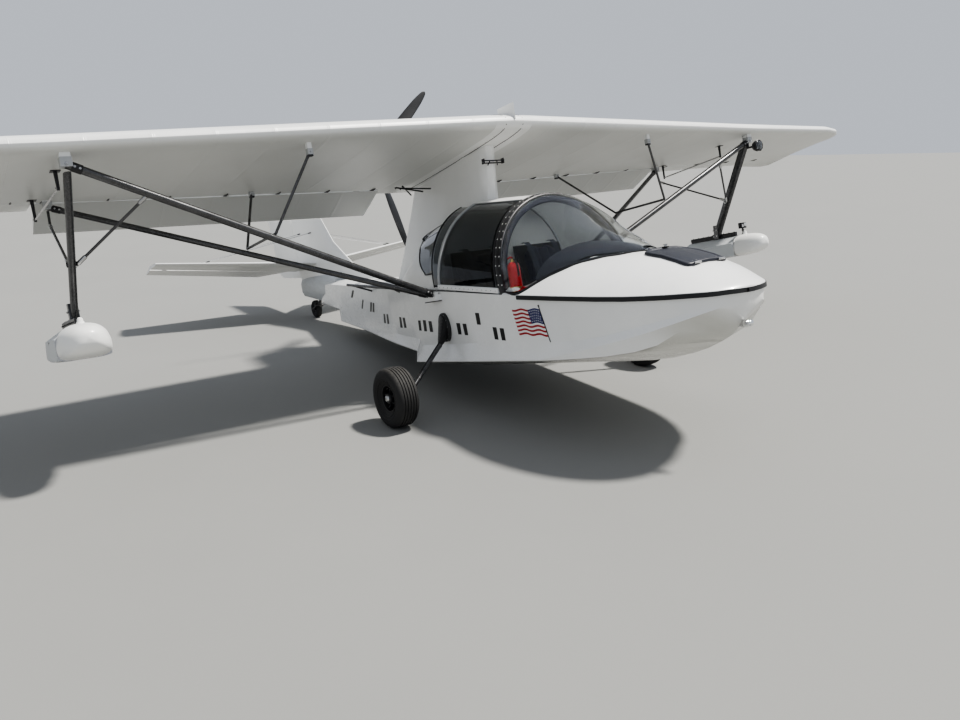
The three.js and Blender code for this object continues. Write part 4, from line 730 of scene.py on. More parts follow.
def gear():
    along = (LEG_FOOT - LEG_TOP).normalized()
    across = along.cross(AFT).normalized()
    for side, _, sign in SIDES:
        boot, leg, folds = Build(sign), Build(sign), []
        boot.loft([oval(*row, BOOT_Y, BOOT_Z) for row in BOOT_PLATE])
        for t in steps(0, 1, BOOT_FOLDS - 1):
            tall, wide, y, z = lerp(86, 28, t), lerp(50, 20, t), lerp(BOOT_Y, -414, t), lerp(348, 256, t)
            for shift, less in ((0, 1), (2, 0), (6, 0), (8, 1)):
                folds.append(oval(lerp(600, 656, t) + shift, tall - 5 * less, wide - 4 * less, y, z))
        boot.loft(folds)
        for turn in circle(12):
            boot.rivet((600, BOOT_Y + 56 * math.cos(turn), BOOT_Z + 94 * math.sin(turn)), ACROSS, 3, 1)
        boot.done(f"gear_boot_bellows_{side}", "black_rubber", ["bellows", "steel"], [f"gear_boot_{side}"], 25)
        hose = [LEG_TOP.lerp(LEG_FOOT, t) + across * 18 - AFT * 4 for t in (0.2, 0.4, 0.6, 0.8, 0.94)]
        leg.tube(hose, 4, 8, 1)
        for t in (0.24, 0.5, 0.76):
            leg.turned([(-7, 14), (-7, 17), (7, 17), (7, 14)], LEG_TOP.lerp(LEG_FOOT, t), along, 24, loop=True)
        leg.turned([(-24, 15.5), (-22, 19), (16, 19), (20, 15)], LEG_FOOT, along, 24)
        leg.turned([(-20, 14), (-20, 27), (-14, 30), (-6, 30), (-4, 26), (-4, 14)], WHEEL_HUB - ACROSS * 58,
                   ACROSS, 32, loop=True)
        leg.bolt(LEG_FOOT - AFT * 22, -AFT, 7, 2)
        leg.done(f"gear_fittings_{side}", "dark_steel", ["tube", "rubber", "steel"])


# Marks on the hull, as corners in the picture: top left, top right, bottom right, bottom left
WINDOW_MARKS = [
    ((352.2, 290.4), (354.0, 290.4), (352.8, 297.6), (351.0, 297.6)),
    ((362.4, 299.5), (363.6, 299.7), (362.8, 308.7), (361.6, 308.5)),
    ((370.4, 302.2), (372.0, 302.4), (371.7, 311.8), (370.1, 311.6)),
    ((372.8, 302.8), (374.3, 302.9), (374.5, 312.2), (372.7, 312.0)),
    ((383.5, 313.8), (385.0, 314.0), (386.2, 323.3), (384.3, 323.0)),
    ((386.5, 314.0), (388.1, 314.2), (389.4, 324.0), (387.5, 323.7)),
    ((399.2, 317.0), (401.2, 317.2), (402.8, 327.8), (400.5, 327.5)),
    ((402.5, 317.5), (404.8, 317.8), (406.7, 327.8), (404.4, 327.8)),
    ((418.0, 320.3), (420.6, 320.5), (421.8, 330.7), (419.4, 330.5)),
    ((422.8, 320.0), (425.8, 320.3), (427.2, 331.4), (424.4, 331.2)),
    ((428.4, 321.0), (431.6, 321.2), (433.4, 332.0), (430.2, 331.8)),
    ((456.2, 323.0), (460.0, 323.2), (461.8, 334.5), (458.5, 334.3)),
    ((462.5, 323.6), (466.2, 323.8), (468.4, 335.3), (465.0, 335.0)),
    ((475.0, 312.8), (479.0, 313.0), (481.0, 324.7), (477.2, 324.5)),
    ((492.5, 327.0), (496.5, 327.4), (498.7, 339.7), (495.0, 339.3)),
    ((499.5, 328.0), (503.7, 328.4), (506.0, 340.6), (502.0, 340.2)),
]
FLAG = ((511.8, 309.2), (539.7, 308.8), (548.5, 336.2), (519.7, 334.5))
FLAG_POLE = ((538.5, 305.8), (550.8, 342.2))
STRIPES, SHORT_STRIPES, CANTON, FLAG_PIECES = 13, 7, 0.555, 26
MARK_PROUD = 0.9


def bilinear(corners, u, v):
    (ax, ay), (bx, by), (cx, cy), (dx, dy) = corners
    return (lerp(lerp(ax, bx, u), lerp(dx, cx, u), v), lerp(lerp(ay, by, u), lerp(dy, cy, u), v))


def waved(u, v):
    """A picture point of the flag, with its waves."""
    px, py = bilinear(FLAG, u, v)
    return px, py + 0.75 * math.sin((u * 3.1 + v * 0.3) * math.pi * 1.35 + 0.4)


def both_sides(build, rows, look=0):
    for mirror in (1, -1):
        build.sheet([[(p.x * mirror, p.y, p.z) for p in row] for row in rows], look)


def marks():
    skin, windows, flag = Skin("hull"), Build(), Build()

    def laid(place, us, vs):
        return [[skin.seen(*place(u, v), MARK_PROUD)[0] for u in us] for v in vs]

    for corners in WINDOW_MARKS:
        both_sides(windows, laid(functools.partial(bilinear, corners), steps(0, 1, 2), steps(0, 1, 5)))
    windows.done("hull_window_marks", "black_trim", ["mark"], smooth=60)

    def cell(start, end, row, look):
        count = max(2, int((end - start) * FLAG_PIECES))
        both_sides(flag, laid(waved, steps(start, end, count), (row / STRIPES, (row + 1) / STRIPES)), look)

    for row in range(STRIPES):
        cell(0, CANTON if row < SHORT_STRIPES else 1.0, row, row % 2)
    for row in range(SHORT_STRIPES):
        cell(CANTON, 1, row, 2)
    for row in range(5):
        for column in range(6 - row % 2):
            u = lerp(CANTON, 1, (column + 0.8 + (row % 2) * 0.5) / 6.6)
            spot, normal = skin.seen(*waved(u, SHORT_STRIPES / STRIPES * (row + 0.8) / 5.6), 1.6)
            side = normal.cross(UP).normalized()
            up = side.cross(normal)
            star = [spot + (side * math.cos(t) + up * math.sin(t)) * (5.4 if i % 2 == 0 else 2.2)
                    for i, t in enumerate(circle(10, math.pi / 2))]
            for mirror in (1, -1):
                flag.put([(p.x * mirror, p.y, p.z) for p in star], [list(range(10))], 1)
    (x0, y0), (x1, y1) = FLAG_POLE
    pole = [skin.seen(lerp(x0, x1, t), lerp(y0, y1, t), 2)[0] for t in steps(0, 1, 12)]
    for mirror in (1, -1):
        path = [vec(p.x * mirror, p.y, p.z) for p in pole]
        flag.tube(path, 3.2, 6, 3, squash=0.4, up=UP)
        flag.turned([(-6, 2), (-5, 7), (0, 9), (5, 7), (6, 2)], path[0], path[0] - path[1], 12, 3, squash=0.5)
    flag.done("hull_flag_mark", "white_gelcoat", ["flag_red", "flag_white", "flag_blue", "mark"], smooth=60)


# Propeller and engine

PROP_HUB = Vector((0, 1280, 1845))
PROP_TURN = math.radians(43.5)
# blade stations: radius, half chord, half thickness, twist in degrees
BLADE = [
    (30, 24, 23, 62), (60, 31, 19, 60), (120, 42, 14, 52), (200, 50, 11, 42), (430, 52, 8, 26),
    (680, 41, 6, 18), (790, 29, 4.6, 15.5), (840, 18, 3, 14.5), (858, 5, 1.2, 14),
]
BLADE_SIDES = 24
HUB_PROFILE = [(-28, 58), (-28, 65), (-24, 68), (-4, 68), (-2, 64), (8, 64), (10, 68), (31, 68), (35, 64),
               (35, 20)]


def propeller():
    body = Build(origin=PROP_HUB)
    for turn in circle(3, PROP_TURN):
        out, over, rings = round_y(turn), round_y(turn + math.pi / 2), []
        for radius, chord, thick, twist in curve(BLADE, 5):
            c, s, ring = math.cos(math.radians(twist)), math.sin(math.radians(twist)), []
            for i, a in enumerate(circle(BLADE_SIDES)):
                wide, high = chord * math.cos(a), thick * math.sin(a) * (1 if 2 * i < BLADE_SIDES else 0.5)
                ring.append(out * radius + AFT * (wide * s + high * c) + over * (wide * c - high * s))
            rings.append(ring)
        body.loft(rings)
        body.turned([(26, 34), (44, 36), (58, 36), (66, 31)], CENTRE, out, 28, 1)
        for shift, reach, size in ((0, 50, 6), (-0.5, 52, 4.5), (0.5, 52, 4.5)):
            body.bolt(round_y(turn + shift) * reach + AFT * 35, AFT, size, 2)
    body.turned(HUB_PROFILE, CENTRE, AFT, 56, 1)
    body.turned([(34, 35), (46, 34.5), (54, 31), (60, 22), (62, 10), (62.3, 1)], CENTRE, AFT, 40, 2)
    body.done("propeller_body", "black_trim", ["blade", "grey", "steel"], ["propeller"], 30, body="propeller")


ENGINE_SIDE, FIN_TIP = 226, 252
COWL_SEAMS = (640, 1092)
EXHAUST = ((120, 1088, 1770), (130, 1130, 1762), (150, 1150, 1745), (158, 1160, 1728))


def seam(build, skin, lines, aside):
    """A seam where the lines meet the skin, with rivets beside it."""
    path = []
    for k, (start, way) in enumerate(lines):
        hit = skin.toward(start, way, -0.4)
        if hit:
            path.append(hit[0])
            if k % 4 == 2:
                spot, normal = skin.toward(start + aside, way, 0.2) or hit
                build.rivet(spot, normal, 4.5, 1)
    build.tube(path, 1.8, 6)


def engine():
    fins, trim, core, skin = Build(), Build(), Build(), Skin("engine_cowl")
    for bank in (-1, 1):
        low, high = sorted((bank * ENGINE_SIDE, bank * FIN_TIP))
        for start in (690, 880):
            for y in range(start, start + 9 * 17, 17):
                fins.block((low, y, 1760), (high, y + 5, 1900), 0, 1.5)
            fins.turned([(0, 30), (34, 30), (38, 26), (38, 8)], (bank * ENGINE_SIDE, start + 68, 1832),
                        ACROSS * bank, 28, 1)
        fins.tube([(bank * x, y, z) for x, y, z in EXHAUST], 15, 16, 3)
    for turn in circle(8):
        fins.bolt(vec(0, 1171, 1845) + round_y(turn) * 49.88, AFT, 4.5, 2)
    fins.done("engine_details", "cast_alloy", ["alloy", "black", "steel", "tube"])
    for y in COWL_SEAMS:
        outs = [round_y(turn) for turn in steps(0, 2 * math.pi, 64)]
        seam(trim, skin, [(vec(0, y, 1850) + out * 700, -out) for out in outs], AFT * 14)
    for side in (-1, 1):
        inward = -ACROSS * side
        seam(trim, skin, [(vec(side * 900, y, 1862), inward) for y in steps(500, 1185, 29)], UP * 14)
        for y in range(800, 977, 44):
            path = [skin.toward((side * 900, y + 6 * t, lerp(1770, 1832, t)), inward, 2) for t in (0, 0.5, 1)]
            if all(path):
                trim.tube([p[0] for p in path], [4, 7, 4], 10, 2, squash=0.8)
    trim.done("engine_cowl_trim", "white_gelcoat", ["black", "steel", "upper"])
    for z in range(1776, 1889, 14):
        core.block((-96, 470, z), (96, 476, z + 4), 0, 1)
    for x in range(-88, 89, 16):
        core.block((x, 476, 1772), (x + 2, 500, 1894), 1, 0.5)
    core.block((-98, 500, 1768), (98, 512, 1898), 1, 3)
    core.done("engine_intake_core", "cast_alloy", ["black", "alloy"])


# Floats

FLOAT_X = 2776
NOSE_END = -285
# float stations: y, half width, ridge z, keel z, share of the body's section, rake
FLOAT_STATIONS = [
    (-545, 5, 630, 620, 0, 0), (-538, 38, 654, 594, 0, 0), (-520, 66, 673, 572, 0, 0),
    (-482, 94, 692, 549, 0, 0), (-430, 116, 704, 534, 0, 0), (-365, 129, 710, 525, 0, 0),
    (NOSE_END, 134, 712, 521, 0, 0), (-270, 134, 712, 521, 1, 0), (60, 132, 712, 521, 1, 0),
    (290, 112, 712, 540, 1, 0.8),
]
# half sections from the ridge to the keel: share of the width, share of the height
NOSE_SECTION = [(0.0, 1.0), (0.3, 0.98), (0.6, 0.9), (0.84, 0.74), (0.96, 0.53), (1, 0.34), (0.96, 0.16),
                (0.8, 0.05), (0.4, 0), (0.0, 0.0)]
BODY_SECTION = [(0.0, 0.97), (0.24, 0.94), (0.5, 0.84), (0.78, 0.73), (0.94, 0.66), (1, 0.6), (1, 0.12),
                (0.92, 0.03), (0.5, 0), (0.0, 0.0)]
KEEL_RAIL = ((-14, 702), (-14, 741), (-10, 746), (10, 746), (14, 741), (14, 702))
FLOAT_BRACES = (((2716, 540, 1360), (2757, -185, 1042)), ((2360, -478, 1331), (2722, -215, 1028)))


def float_ring(station):
    """A float's closed section, about its middle."""
    y, wide, ridge, keel, share, rake = station
    share, half = min(1.0, max(0.0, share)), []
    for nose, body in zip(curve(NOSE_SECTION, 3), curve(BODY_SECTION, 3)):
        z = lerp(keel, ridge, lerp(nose[1], body[1], share))
        half.append((max(0.0, lerp(nose[0], body[0], share)) * wide, y + rake * (ridge - z), z))
    return half + [(-x, at, z) for x, at, z in half[-2:0:-1]]


def floats():
    stations = curve(FLOAT_STATIONS, 4)
    front = [float_ring(s) for s in stations if s[0] <= NOSE_END + 0.1]
    back = [float_ring(s) for s in stations if s[0] >= NOSE_END - 0.1]
    band = [[(x * g, y + at, 617 + (z - 617) * g) for x, y, z in front[-1]]
            for at, g in ((-3, 1.0), (-2, 1.005), (2, 1.005), (3, 1.0))]
    for side, _, sign in SIDES:
        shell, fit = Build(sign, ACROSS * FLOAT_X), Build(sign)
        shell.loft(front, 1)
        shell.loft(back)
        shell.loft(band, 3)
        shell.loft([[(u, y, v) for u, v in KEEL_RAIL] for y in (-235, 285)], 2)
        for y in steps(-215, 265, 8):
            shell.bolt((0, y, 746), UP, 4, 2)
        for edge in (-1, 1):
            for y in steps(-195, 285, 8):
                shell.bolt((edge * 14, y, 726), ACROSS * edge, 3.5, 2)
            for y in steps(-250, 40, 11):
                shell.rivet((edge * 131, y, 640), (edge * 0.4, 0, 1), 3.4, 3)
            shell.block((edge * 118 - 9, -60, 600), (edge * 118 + 16, -4, 640), 2, 3)
            for y, z in ((-50, 735), (-14, 735), (-50, 790), (-14, 790)):
                fit.bolt((2760 + edge * 26, y, z), ACROSS * edge, 5, 1)
        shell.turned([(-3, 24), (6, 20), (12, 16), (22, 15), (30, 11), (33, 3)], (0, -330, 709), (0, -0.1, 1),
                     28, 1)
        shell.done(f"float_shell_{side}", "white_fabric", ["float", "nose", "black", "steel"],
                   [f"float_{side}"], 32)
        fit.block((2735, -70, 742), (2785, 5, 752), 0, 2)
        for top, low in FLOAT_BRACES:
            along = (Vector(low) - Vector(top)).normalized()
            fit.tube([Vector(low) - along * reach for reach in (70, 64, 10)], [9.5, 12, 12], 12, 1)
            fit.tube([Vector(top) + along * reach for reach in (60, 54, 6)], [9.5, 12, 12], 12, 1)
        fit.turned([(-19, 9), (-19, 17), (19, 17), (19, 9)], (2742, -201, 1031), ACROSS, 20, 1, loop=True)
        fit.done(f"float_fittings_{side}", "dark_steel", ["black", "steel"])


# Foredeck lid

LID_CENTRE, LID_HALF = (0, -2026), (164, 160)
LID_POWER = 9.0
# rings of the padded cover: share of its outline, height over the lid
LID_RINGS = [(0.02, 1), (0.3, 1.5), (0.6, 1.5), (0.8, 1), (0.84, 1), (0.86, 4), (0.9, 6), (0.95, 6),
             (0.975, 4.5), (0.99, 1.5), (1.0, -3), (1.0, -9), (0.9, -10)]


def lid():
    skin, cover = Skin("bow_hatch"), Build()

    def spot(angle, share, proud):
        c, s = math.cos(angle), math.sin(angle)
        reach = (abs(c) ** LID_POWER + abs(s) ** LID_POWER) ** (-1 / LID_POWER) * share
        x, y = LID_CENTRE[0] + LID_HALF[0] * c * reach, LID_CENTRE[1] + LID_HALF[1] * s * reach
        hit = skin.toward((x, y, 900), -UP, proud)
        return hit[0] if hit else (x, y, 540)

    cover.loft([[spot(angle, share, proud) for angle in circle(72)] for share, proud in LID_RINGS])
    for x in (-95, 95):
        cover.tube([(x - 26, -2189, 530), (x + 26, -2189, 530)], 5.5, 14, 1)
        for end in (-16, 16):
            base = skin.toward((x + end, -2165, 900), -UP, 2)
            if base:
                cover.bolt(*base, 3.5, 1)
    cover.origin = skin.toward((0, -1895, 900), -UP, 5)[0]
    cover.block((-20, -11, -2), (20, 11, 5), 2, 3)
    cover.turned([(0, 9), (6, 9), (8, 7), (13, 7), (14, 5)], (0, 0, 4), UP, 24, 1)
    cover.block((-3, -16, 12), (3, 16, 18), 1, 2)
    cover.done("bow_lid_cover", "white_gelcoat", ["lid", "steel", "rubber"], ["bow_hatch"], 30, body="bow_lid")


# Seats

VOXEL = 0.006
SEAT_NEAR, SEAT_FAR = 52, 481
SQUAB = ((-1000, -648), (146, 246))
BACK_FOOT, BACK_TOP, BACK_THICK = (-634, 276), (-476, 842), 46
CHANNELS, CHANNEL_HALF, CHANNEL_DEPTH = 5, 12, 7
PRESSURE, CLOTH_FRAMES = 4, 20
# belt over the back, from behind: y and z
BELT = ((-438, 850), (-470, 853), (-500, 830), (-566, 640), (-636, 420), (-668, 320))


def settled(piece):
    return bpy.data.meshes.new_from_object(piece.evaluated_get(bpy.context.evaluated_depsgraph_get()))


def swollen(name, build, cap):
    """A pad remeshed and blown up by cloth pressure, no point moving further than the cap."""
    mesh = bpy.data.meshes.new(name)
    mesh.from_pydata([CRAFT @ Vector(p) for p in build.points], [], build.faces)
    pad = link_object(name, mesh)
    made = pad.modifiers.new("remesh", "REMESH")
    made.mode, made.voxel_size, made.use_smooth_shade = "VOXEL", VOXEL, True
    mesh = settled(pad)
    pad.modifiers.clear()
    pad.data = mesh
    start = np.array([v.co for v in mesh.vertices])
    cloth = pad.modifiers.new("cloth", "CLOTH")
    cloth.settings.use_pressure = True
    cloth.settings.uniform_pressure_force = PRESSURE
    cloth.settings.effector_weights.gravity = 0
    cloth.settings.quality = 4
    cloth.point_cache.frame_end = CLOTH_FRAMES
    for step in range(1, CLOTH_FRAMES + 1):
        bpy.context.scene.frame_set(step)
    moved = np.array([v.co for v in settled(pad).vertices]) - start
    pad.modifiers.clear()
    bpy.context.scene.frame_set(1)
    length = np.linalg.norm(moved, axis=1, keepdims=True)
    moved *= np.minimum(1.0, cap * MM / np.maximum(length, 1e-9))
    mesh.vertices.foreach_set("co", (start + moved).ravel())
    mesh.update()
    return pad


def channelled(pad, facing):
    """Sews straight channels into the side of a pad that faces a direction."""
    turn, pitch = DRAWN.to_3x3(), (SEAT_FAR - SEAT_NEAR) / CHANNELS
    for vert in pad.data.vertices:
        share = (turn @ vert.normal).normalized().dot(facing)
        place = DRAWN @ vert.co
        step = (place.x - SEAT_NEAR) / pitch
        near = abs(step - round(step)) * pitch
        if share >= 0.3 and 0.4 < step < CHANNELS - 0.4 and near < CHANNEL_HALF:
            dip = CHANNEL_DEPTH * (1 - near / CHANNEL_HALF) ** 1.5 * min(1.0, (share - 0.3) / 0.5)
            vert.co = CRAFT @ (place - facing * dip)


def padded_piece(pad, name, side):
    pad.name = name
    pad.data.materials.clear()
    pad.data.materials.append(LOOKS["leather"])
    pad.data.polygons.foreach_set("use_smooth", [True] * len(pad.data.polygons))
    made = pad.modifiers.new("subdivide", "SUBSURF")
    made.levels = made.render_levels = 1
    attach(pad, "airframe")
    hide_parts(f"seat_{side}")


def back_rest():
    """The back's shape before it swells: a rounded slab that leans and narrows upward."""
    side, wide, thick = (SEAT_NEAR + SEAT_FAR) / 2, (SEAT_FAR - SEAT_NEAR) / 2 - 12, BACK_THICK / 2
    rings, power = [], 2 / 4.5
    for t in steps(0, 1, 12):
        z = lerp(BACK_FOOT[1], BACK_TOP[1] - 14, t)
        rounding = 1 - 0.5 * max(0.0, (t - 0.85) / 0.15) ** 2
        rings.append([])
        for turn in circle(28):
            u, v = (math.copysign(abs(part) ** power, part) for part in (math.cos(turn), math.sin(turn)))
            spot = vec(side + wide * u * rounding, thick + (thick - 4) * v, z)
            share = (spot.z - BACK_FOOT[1]) / (BACK_TOP[1] - BACK_FOOT[1])
            narrow = 1 - 0.2 * max(0.0, share) ** 2
            lean = lerp(BACK_FOOT[0], BACK_TOP[0], share)
            rings[-1].append(vec(side + (spot.x - side) * narrow, spot.y + lean, spot.z))
    return Build().loft(rings)


def seats():
    (y0, y1), (z0, z1) = SQUAB
    squab = Build().block((SEAT_NEAR + 8, y0 + 8, z0), (SEAT_FAR - 8, y1 - 4, z1 - 12), edge=22)
    pads = {"squab": swollen("squab", squab, 24), "back": swollen("back", back_rest(), 22)}
    channelled(pads["squab"], UP)
    channelled(pads["back"], vec(0, BACK_FOOT[1] - BACK_TOP[1], BACK_TOP[0] - BACK_FOOT[0]).normalized())
    for side, _, sign in SIDES:
        for kind, pad in pads.items():
            if sign < 0:
                mesh = pad.data.copy()
                mesh.transform(Matrix.Scale(-1, 4, ACROSS))
                mesh.flip_normals()
                pad = link_object(kind, mesh)
            padded_piece(pad, f"seat_{kind}_{side}", side)
    for side, _, sign in SIDES:
        shell = Build(sign)
        shell.loft([[(x, -520, 140), (x, -612, 262), (x, -440, 838), (x, -428, 838), (x, -428, 140)]
                    for x in (SEAT_NEAR + 6, SEAT_FAR - 6)])
        shell.block((SEAT_NEAR + 4, -1004, 133), (SEAT_FAR - 4, -522, 143), 0, 3)
        for x in (SEAT_NEAR + 16, SEAT_FAR - 16):
            shell.tube([(x, -1000, 146), (x, -1006, 190), (x, -1000, 236)], 2.2, 8, 1)
        for x in (150, 383):
            shell.loft([[(x - 24, y, z), (x + 24, y, z), (x + 24, y + 2.5, z + 1.2), (x - 24, y + 2.5, z + 1.2)]
                        for y, z in BELT], 2)
        shell.block((240, -735, 262), (296, -690, 276), 3, 3)
        for x0, x1 in ((60, 242), (294, 474)):
            shell.loft([[(x, y - 24, z), (x, y + 24, z), (x, y + 24, z + 2.4), (x, y - 24, z + 2.4)]
                        for x, y, z in ((x0, -640, 262), ((x0 + x1) / 2, -680, 272), (x1, -712, 268))], 2)
        shell.done(f"seat_shell_{side}", "cabin_vinyl", ["black", "thread", "webbing", "steel"],
                   [f"seat_{side}"], bevel=1.5)


# Cabin

PANEL_FACE = -1290
# dials on each side: x, z, radius
DIALS = [(120, 640, 38), (215, 632, 38), (305, 615, 34), (120, 548, 38), (215, 542, 38), (305, 532, 30)]
STICK = [(0, -1062, 133), (0, -1066, 200), (0, -1082, 300), (0, -1078, 390), (0, -1064, 440)]
GRIP = [(0, -1068, 425), (0, -1062, 450), (0, -1056, 500), (0, -1060, 545), (0, -1062, 552)]
EXTINGUISHER = Vector((498, -1136, 512))


def dial(board, radius, reading):
    """A dial about the board's origin: ring, face, scale and needle."""
    board.turned([(-1, radius * 0.84), (0, radius), (5, radius), (8, radius * 0.93), (8, radius * 0.86),
                  (2.4, radius * 0.84)], CENTRE, AFT, 40, loop=True)
    board.turned([(0, radius * 0.85), (2.2, radius * 0.85)], CENTRE, AFT, 40, 1)
    for k, angle in enumerate(steps(225, -45, 15)):
        out = round_y(math.radians(angle)) * radius
        board.tube([AFT * 2.6 + out * (0.7 if k % 5 else 0.62), AFT * 2.6 + out * 0.8], 0.8, 4, 2)
    out = round_y(math.radians(150 - reading)) * radius
    board.tube([AFT * 4 - out * 0.2, AFT * 4 + out * 0.68], [1.6, 0.7], 6, 2)
    board.turned([(2, 4), (5, 4), (5.6, 3)], CENTRE, AFT, 12)


def cabin():
    board, controls, bottle = Build(), Build(), Build(-1, EXTINGUISHER)
    for sign in (1, -1):
        for x, z, radius in DIALS:
            board.origin = vec(x * sign, PANEL_FACE, z)
            dial(board, radius, 37 * (x + z) % 140)
        for x in range(70, 291, 44):
            board.origin = vec(x * sign, PANEL_FACE, 462)
            board.turned([(0, 7), (3, 7), (4, 5)], CENTRE, AFT, 12, 3)
            board.tube([(0, 3, 0), (0, 17, -7)], [2.2, 3], 8, 3)
    board.origin = AFT * PANEL_FACE
    for low, high, look, edge in (
            ((-62, -1, 596), (62, 10, 688), 0, 3), ((-54, 9.5, 604), (54, 11, 680), 1, 0.5),
            ((-58, -1, 528), (58, 9, 582), 0, 3), ((-22, 8.5, 542), (22, 10, 568), 1, 0.5)):
        board.block(low, high, look, edge)
    for x in (-42, 42):
        board.turned([(0, 11), (12, 10), (14, 8)], (x, 8, 555), AFT, 20)
    board.done("panel_instruments", "black_trim", ["black", "dial", "nose", "steel"])
    for sign in (1, -1):
        controls.origin = ACROSS * 266 * sign
        controls.tube(STICK, 11, 14)
        controls.tube(GRIP, [14, 18, 16, 18, 10], 16, 1, squash=0.8)
        controls.turned([(0, 34), (4, 34), (10, 28), (20, 20), (26, 14)], STICK[0], UP, 28, 1)
    controls.origin = CENTRE
    controls.block((-30, -1060, 133), (30, -760, 240), 1, 10)
    controls.tube([(0, -980, 238), (0, -990, 290), (0, -1000, 322)], 6, 12, 2)
    controls.turned([(0, 12), (6, 16), (16, 16), (22, 10)], (0, -1002, 318), (0, -0.2, 1), 20, 1)
    controls.tube([(0, -880, 238), (0, -866, 276), (0, -846, 300)], 5, 12, 2)
    controls.turned([(0, 9), (5, 13), (12, 13), (17, 8)], (0, -848, 296), (0, 0.4, 1), 20, 3)
    controls.done("cabin_controls", "black_trim", ["tube", "rubber", "steel", "red"])
    bottle.turned([(0, 20), (2, 34), (10, 39), (150, 39), (172, 34), (184, 22), (188, 16)], CENTRE, UP, 36)
    bottle.turned([(26, 39.5), (26, 41), (38, 41), (38, 39.5)], CENTRE, UP, 36, 1, loop=True)
    bottle.turned([(188, 13), (202, 13), (205, 9)], CENTRE, UP, 20, 1)
    bottle.tube([(0, 0, 212), (0, 20, 219), (0, 44, 212)], 5, 10)
    bottle.tube([(0, 0, 204), (0, -22, 198), (0, -42, 160), (0, -42, 100)], 6, 10, 2)
    bottle.block((-30, -40, -12), (30, 40, 1), 2, 3)
    bottle.done("cabin_extinguisher", "cabin_vinyl", ["red", "brass", "black"])


# Lamp and roller

LAMP = Vector((2700, -650, 1440))
LAMP_SHELL = [(3, 50), (0, 47), (-1, 44), (6, 43), (10, 44), (30, 47), (52, 36), (65, 20), (66, 8)]
LAMP_LENS = [(-4, 2), (-3.6, 16), (-2, 32), (1, 42), (4, 43), (4, 42), (0, 30), (-1, 2)]
ROLLER = Vector((0, -2380, 182))
ROLLER_PROFILE = [(-20, 8), (-20, 19), (-16, 20), (-11, 17), (-5, 14), (5, 14), (11, 17), (16, 20), (20, 19),
                  (20, 8)]
ROLLER_CHEEK = ((-12, -12), (8, -18), (78, -12), (78, 18), (14, 18), (-10, 12))


def lamp():
    shell, glass = Build(origin=LAMP), Build(origin=LAMP)
    shell.turned(LAMP_SHELL, CENTRE, AFT)
    shell.turned([(7, 44), (14, 41), (26, 32), (36, 18), (38, 6), (40, 1)], CENTRE, AFT, look=1)
    shell.turned([(18, 5), (30, 5), (36, 3)], CENTRE, AFT, 16, 2)
    for turn in circle(4, 0.6):
        shell.bolt(round_y(turn) * 46, -AFT, 2.6, 1)
    shell.block((-7, 46, -4), (11, 130, 11), 0, 3)
    shell.block((-7, 110, -2), (11, 128, 60), 0, 3)
    shell.done("landing_light_shell", "cast_alloy", ["black", "mirror", "nose"], ["landing_light"])
    glass.turned(LAMP_LENS, CENTRE, AFT)
    glass.done("landing_light_lens", "clear_glazing", ["lens"], ["landing_light"], 60)


def bow():
    roller = Build(origin=ROLLER)
    roller.turned(ROLLER_PROFILE, CENTRE, ACROSS, 40)
    for end in (-1, 1):
        roller.turned([(end * 20, 6), (end * 24, 7), (end * 27, 5)], CENTRE, ACROSS, 16, 1)
        roller.loft([[(end * a, y, z) for y, z in ROLLER_CHEEK] for a in (3, 7)], 1)
    roller.done("bow_roller", "dark_steel", ["mirror", "steel"], ["bow_ring"])


# Fittings

WIRE_ENDS = [((17, 2860, 1440), (1040, 3200, 1276)), ((17, 3150, 1470), (1080, 3330, 1280))]
# wing brackets: centre, half width and height above the centre
WING_BRACKETS = [((2728, -512, 1504), 26, 34), ((2707, 567, 1475), 24, 34), ((1425, -560, 1517), 14, 20),
                 ((1413, 560, 1482), 14, 20)]
# lift struts: top, foot and the clamps' radius
STRUTS = [((2728, -512, 1504), (608, -357, 580), 22), ((2707, 567, 1475), (608, -302, 580), 19)]
PUSHROD = (Vector((2738, -199, 1446)), Vector((2790, 540, 1400)))
# hinge brackets under the flap and the aileron: x of the first, pitch, count, and z at two places
HINGES = [(420, 385, 7, (358, 1477), (2769, 1528)), (2900, 480, 4, (2781, 1529), (4450, 1550))]
MAST = ((0, -745), (5, -715), (7, -670), (5, -600), (0, -560), (-5, -600), (-7, -670), (-5, -715))
SQUARE = ((-1, -1), (1, -1), (1, 1), (-1, 1))


def strut_plates(plates):
    """Hull plates and bolts, sleeves on the lift struts' ends, and brackets under the wing."""
    plates.block((548, -402, 534), (632, -258, 541), 0, 3)
    for y in (-384, -357, -330, -302, -276):
        plates.bolt((629, y, 580), ACROSS, 6, 1)
    for y, z in ((-392, 552), (-268, 552), (-392, 604), (-268, 604)):
        plates.bolt((605, y, z), (1, 0, 0.3), 4, 1)
    for top, foot, radius in STRUTS:
        along = (Vector(top) - Vector(foot)).normalized()
        for middle in (Vector(foot) + along * 52, Vector(top) - along * 52):
            plates.turned([(-26, radius + 0.5), (-24, radius + 3), (24, radius + 3), (26, radius + 0.5)],
                          middle, along, 28)
            for step in (-13, 13):
                plates.bolt(middle + along * step - AFT * (radius + 3), -AFT, 4.5, 1)
    for x, y, z in ((1425, -560, 1517), (1413, 560, 1482)):
        plates.block((x - 16, y - 16, z - 26), (x + 16, y + 16, z - 8), 0, 3)
    for (x, y, z), half, tall in WING_BRACKETS:
        around = half + 2.5
        plates.loft([[(x + u * around, y + v * around, at) for u, v in SQUARE] for at in (z - 15, z + tall)], 2)
        plates.bolt((x, y - around, z), -AFT, half * 0.3, 1)


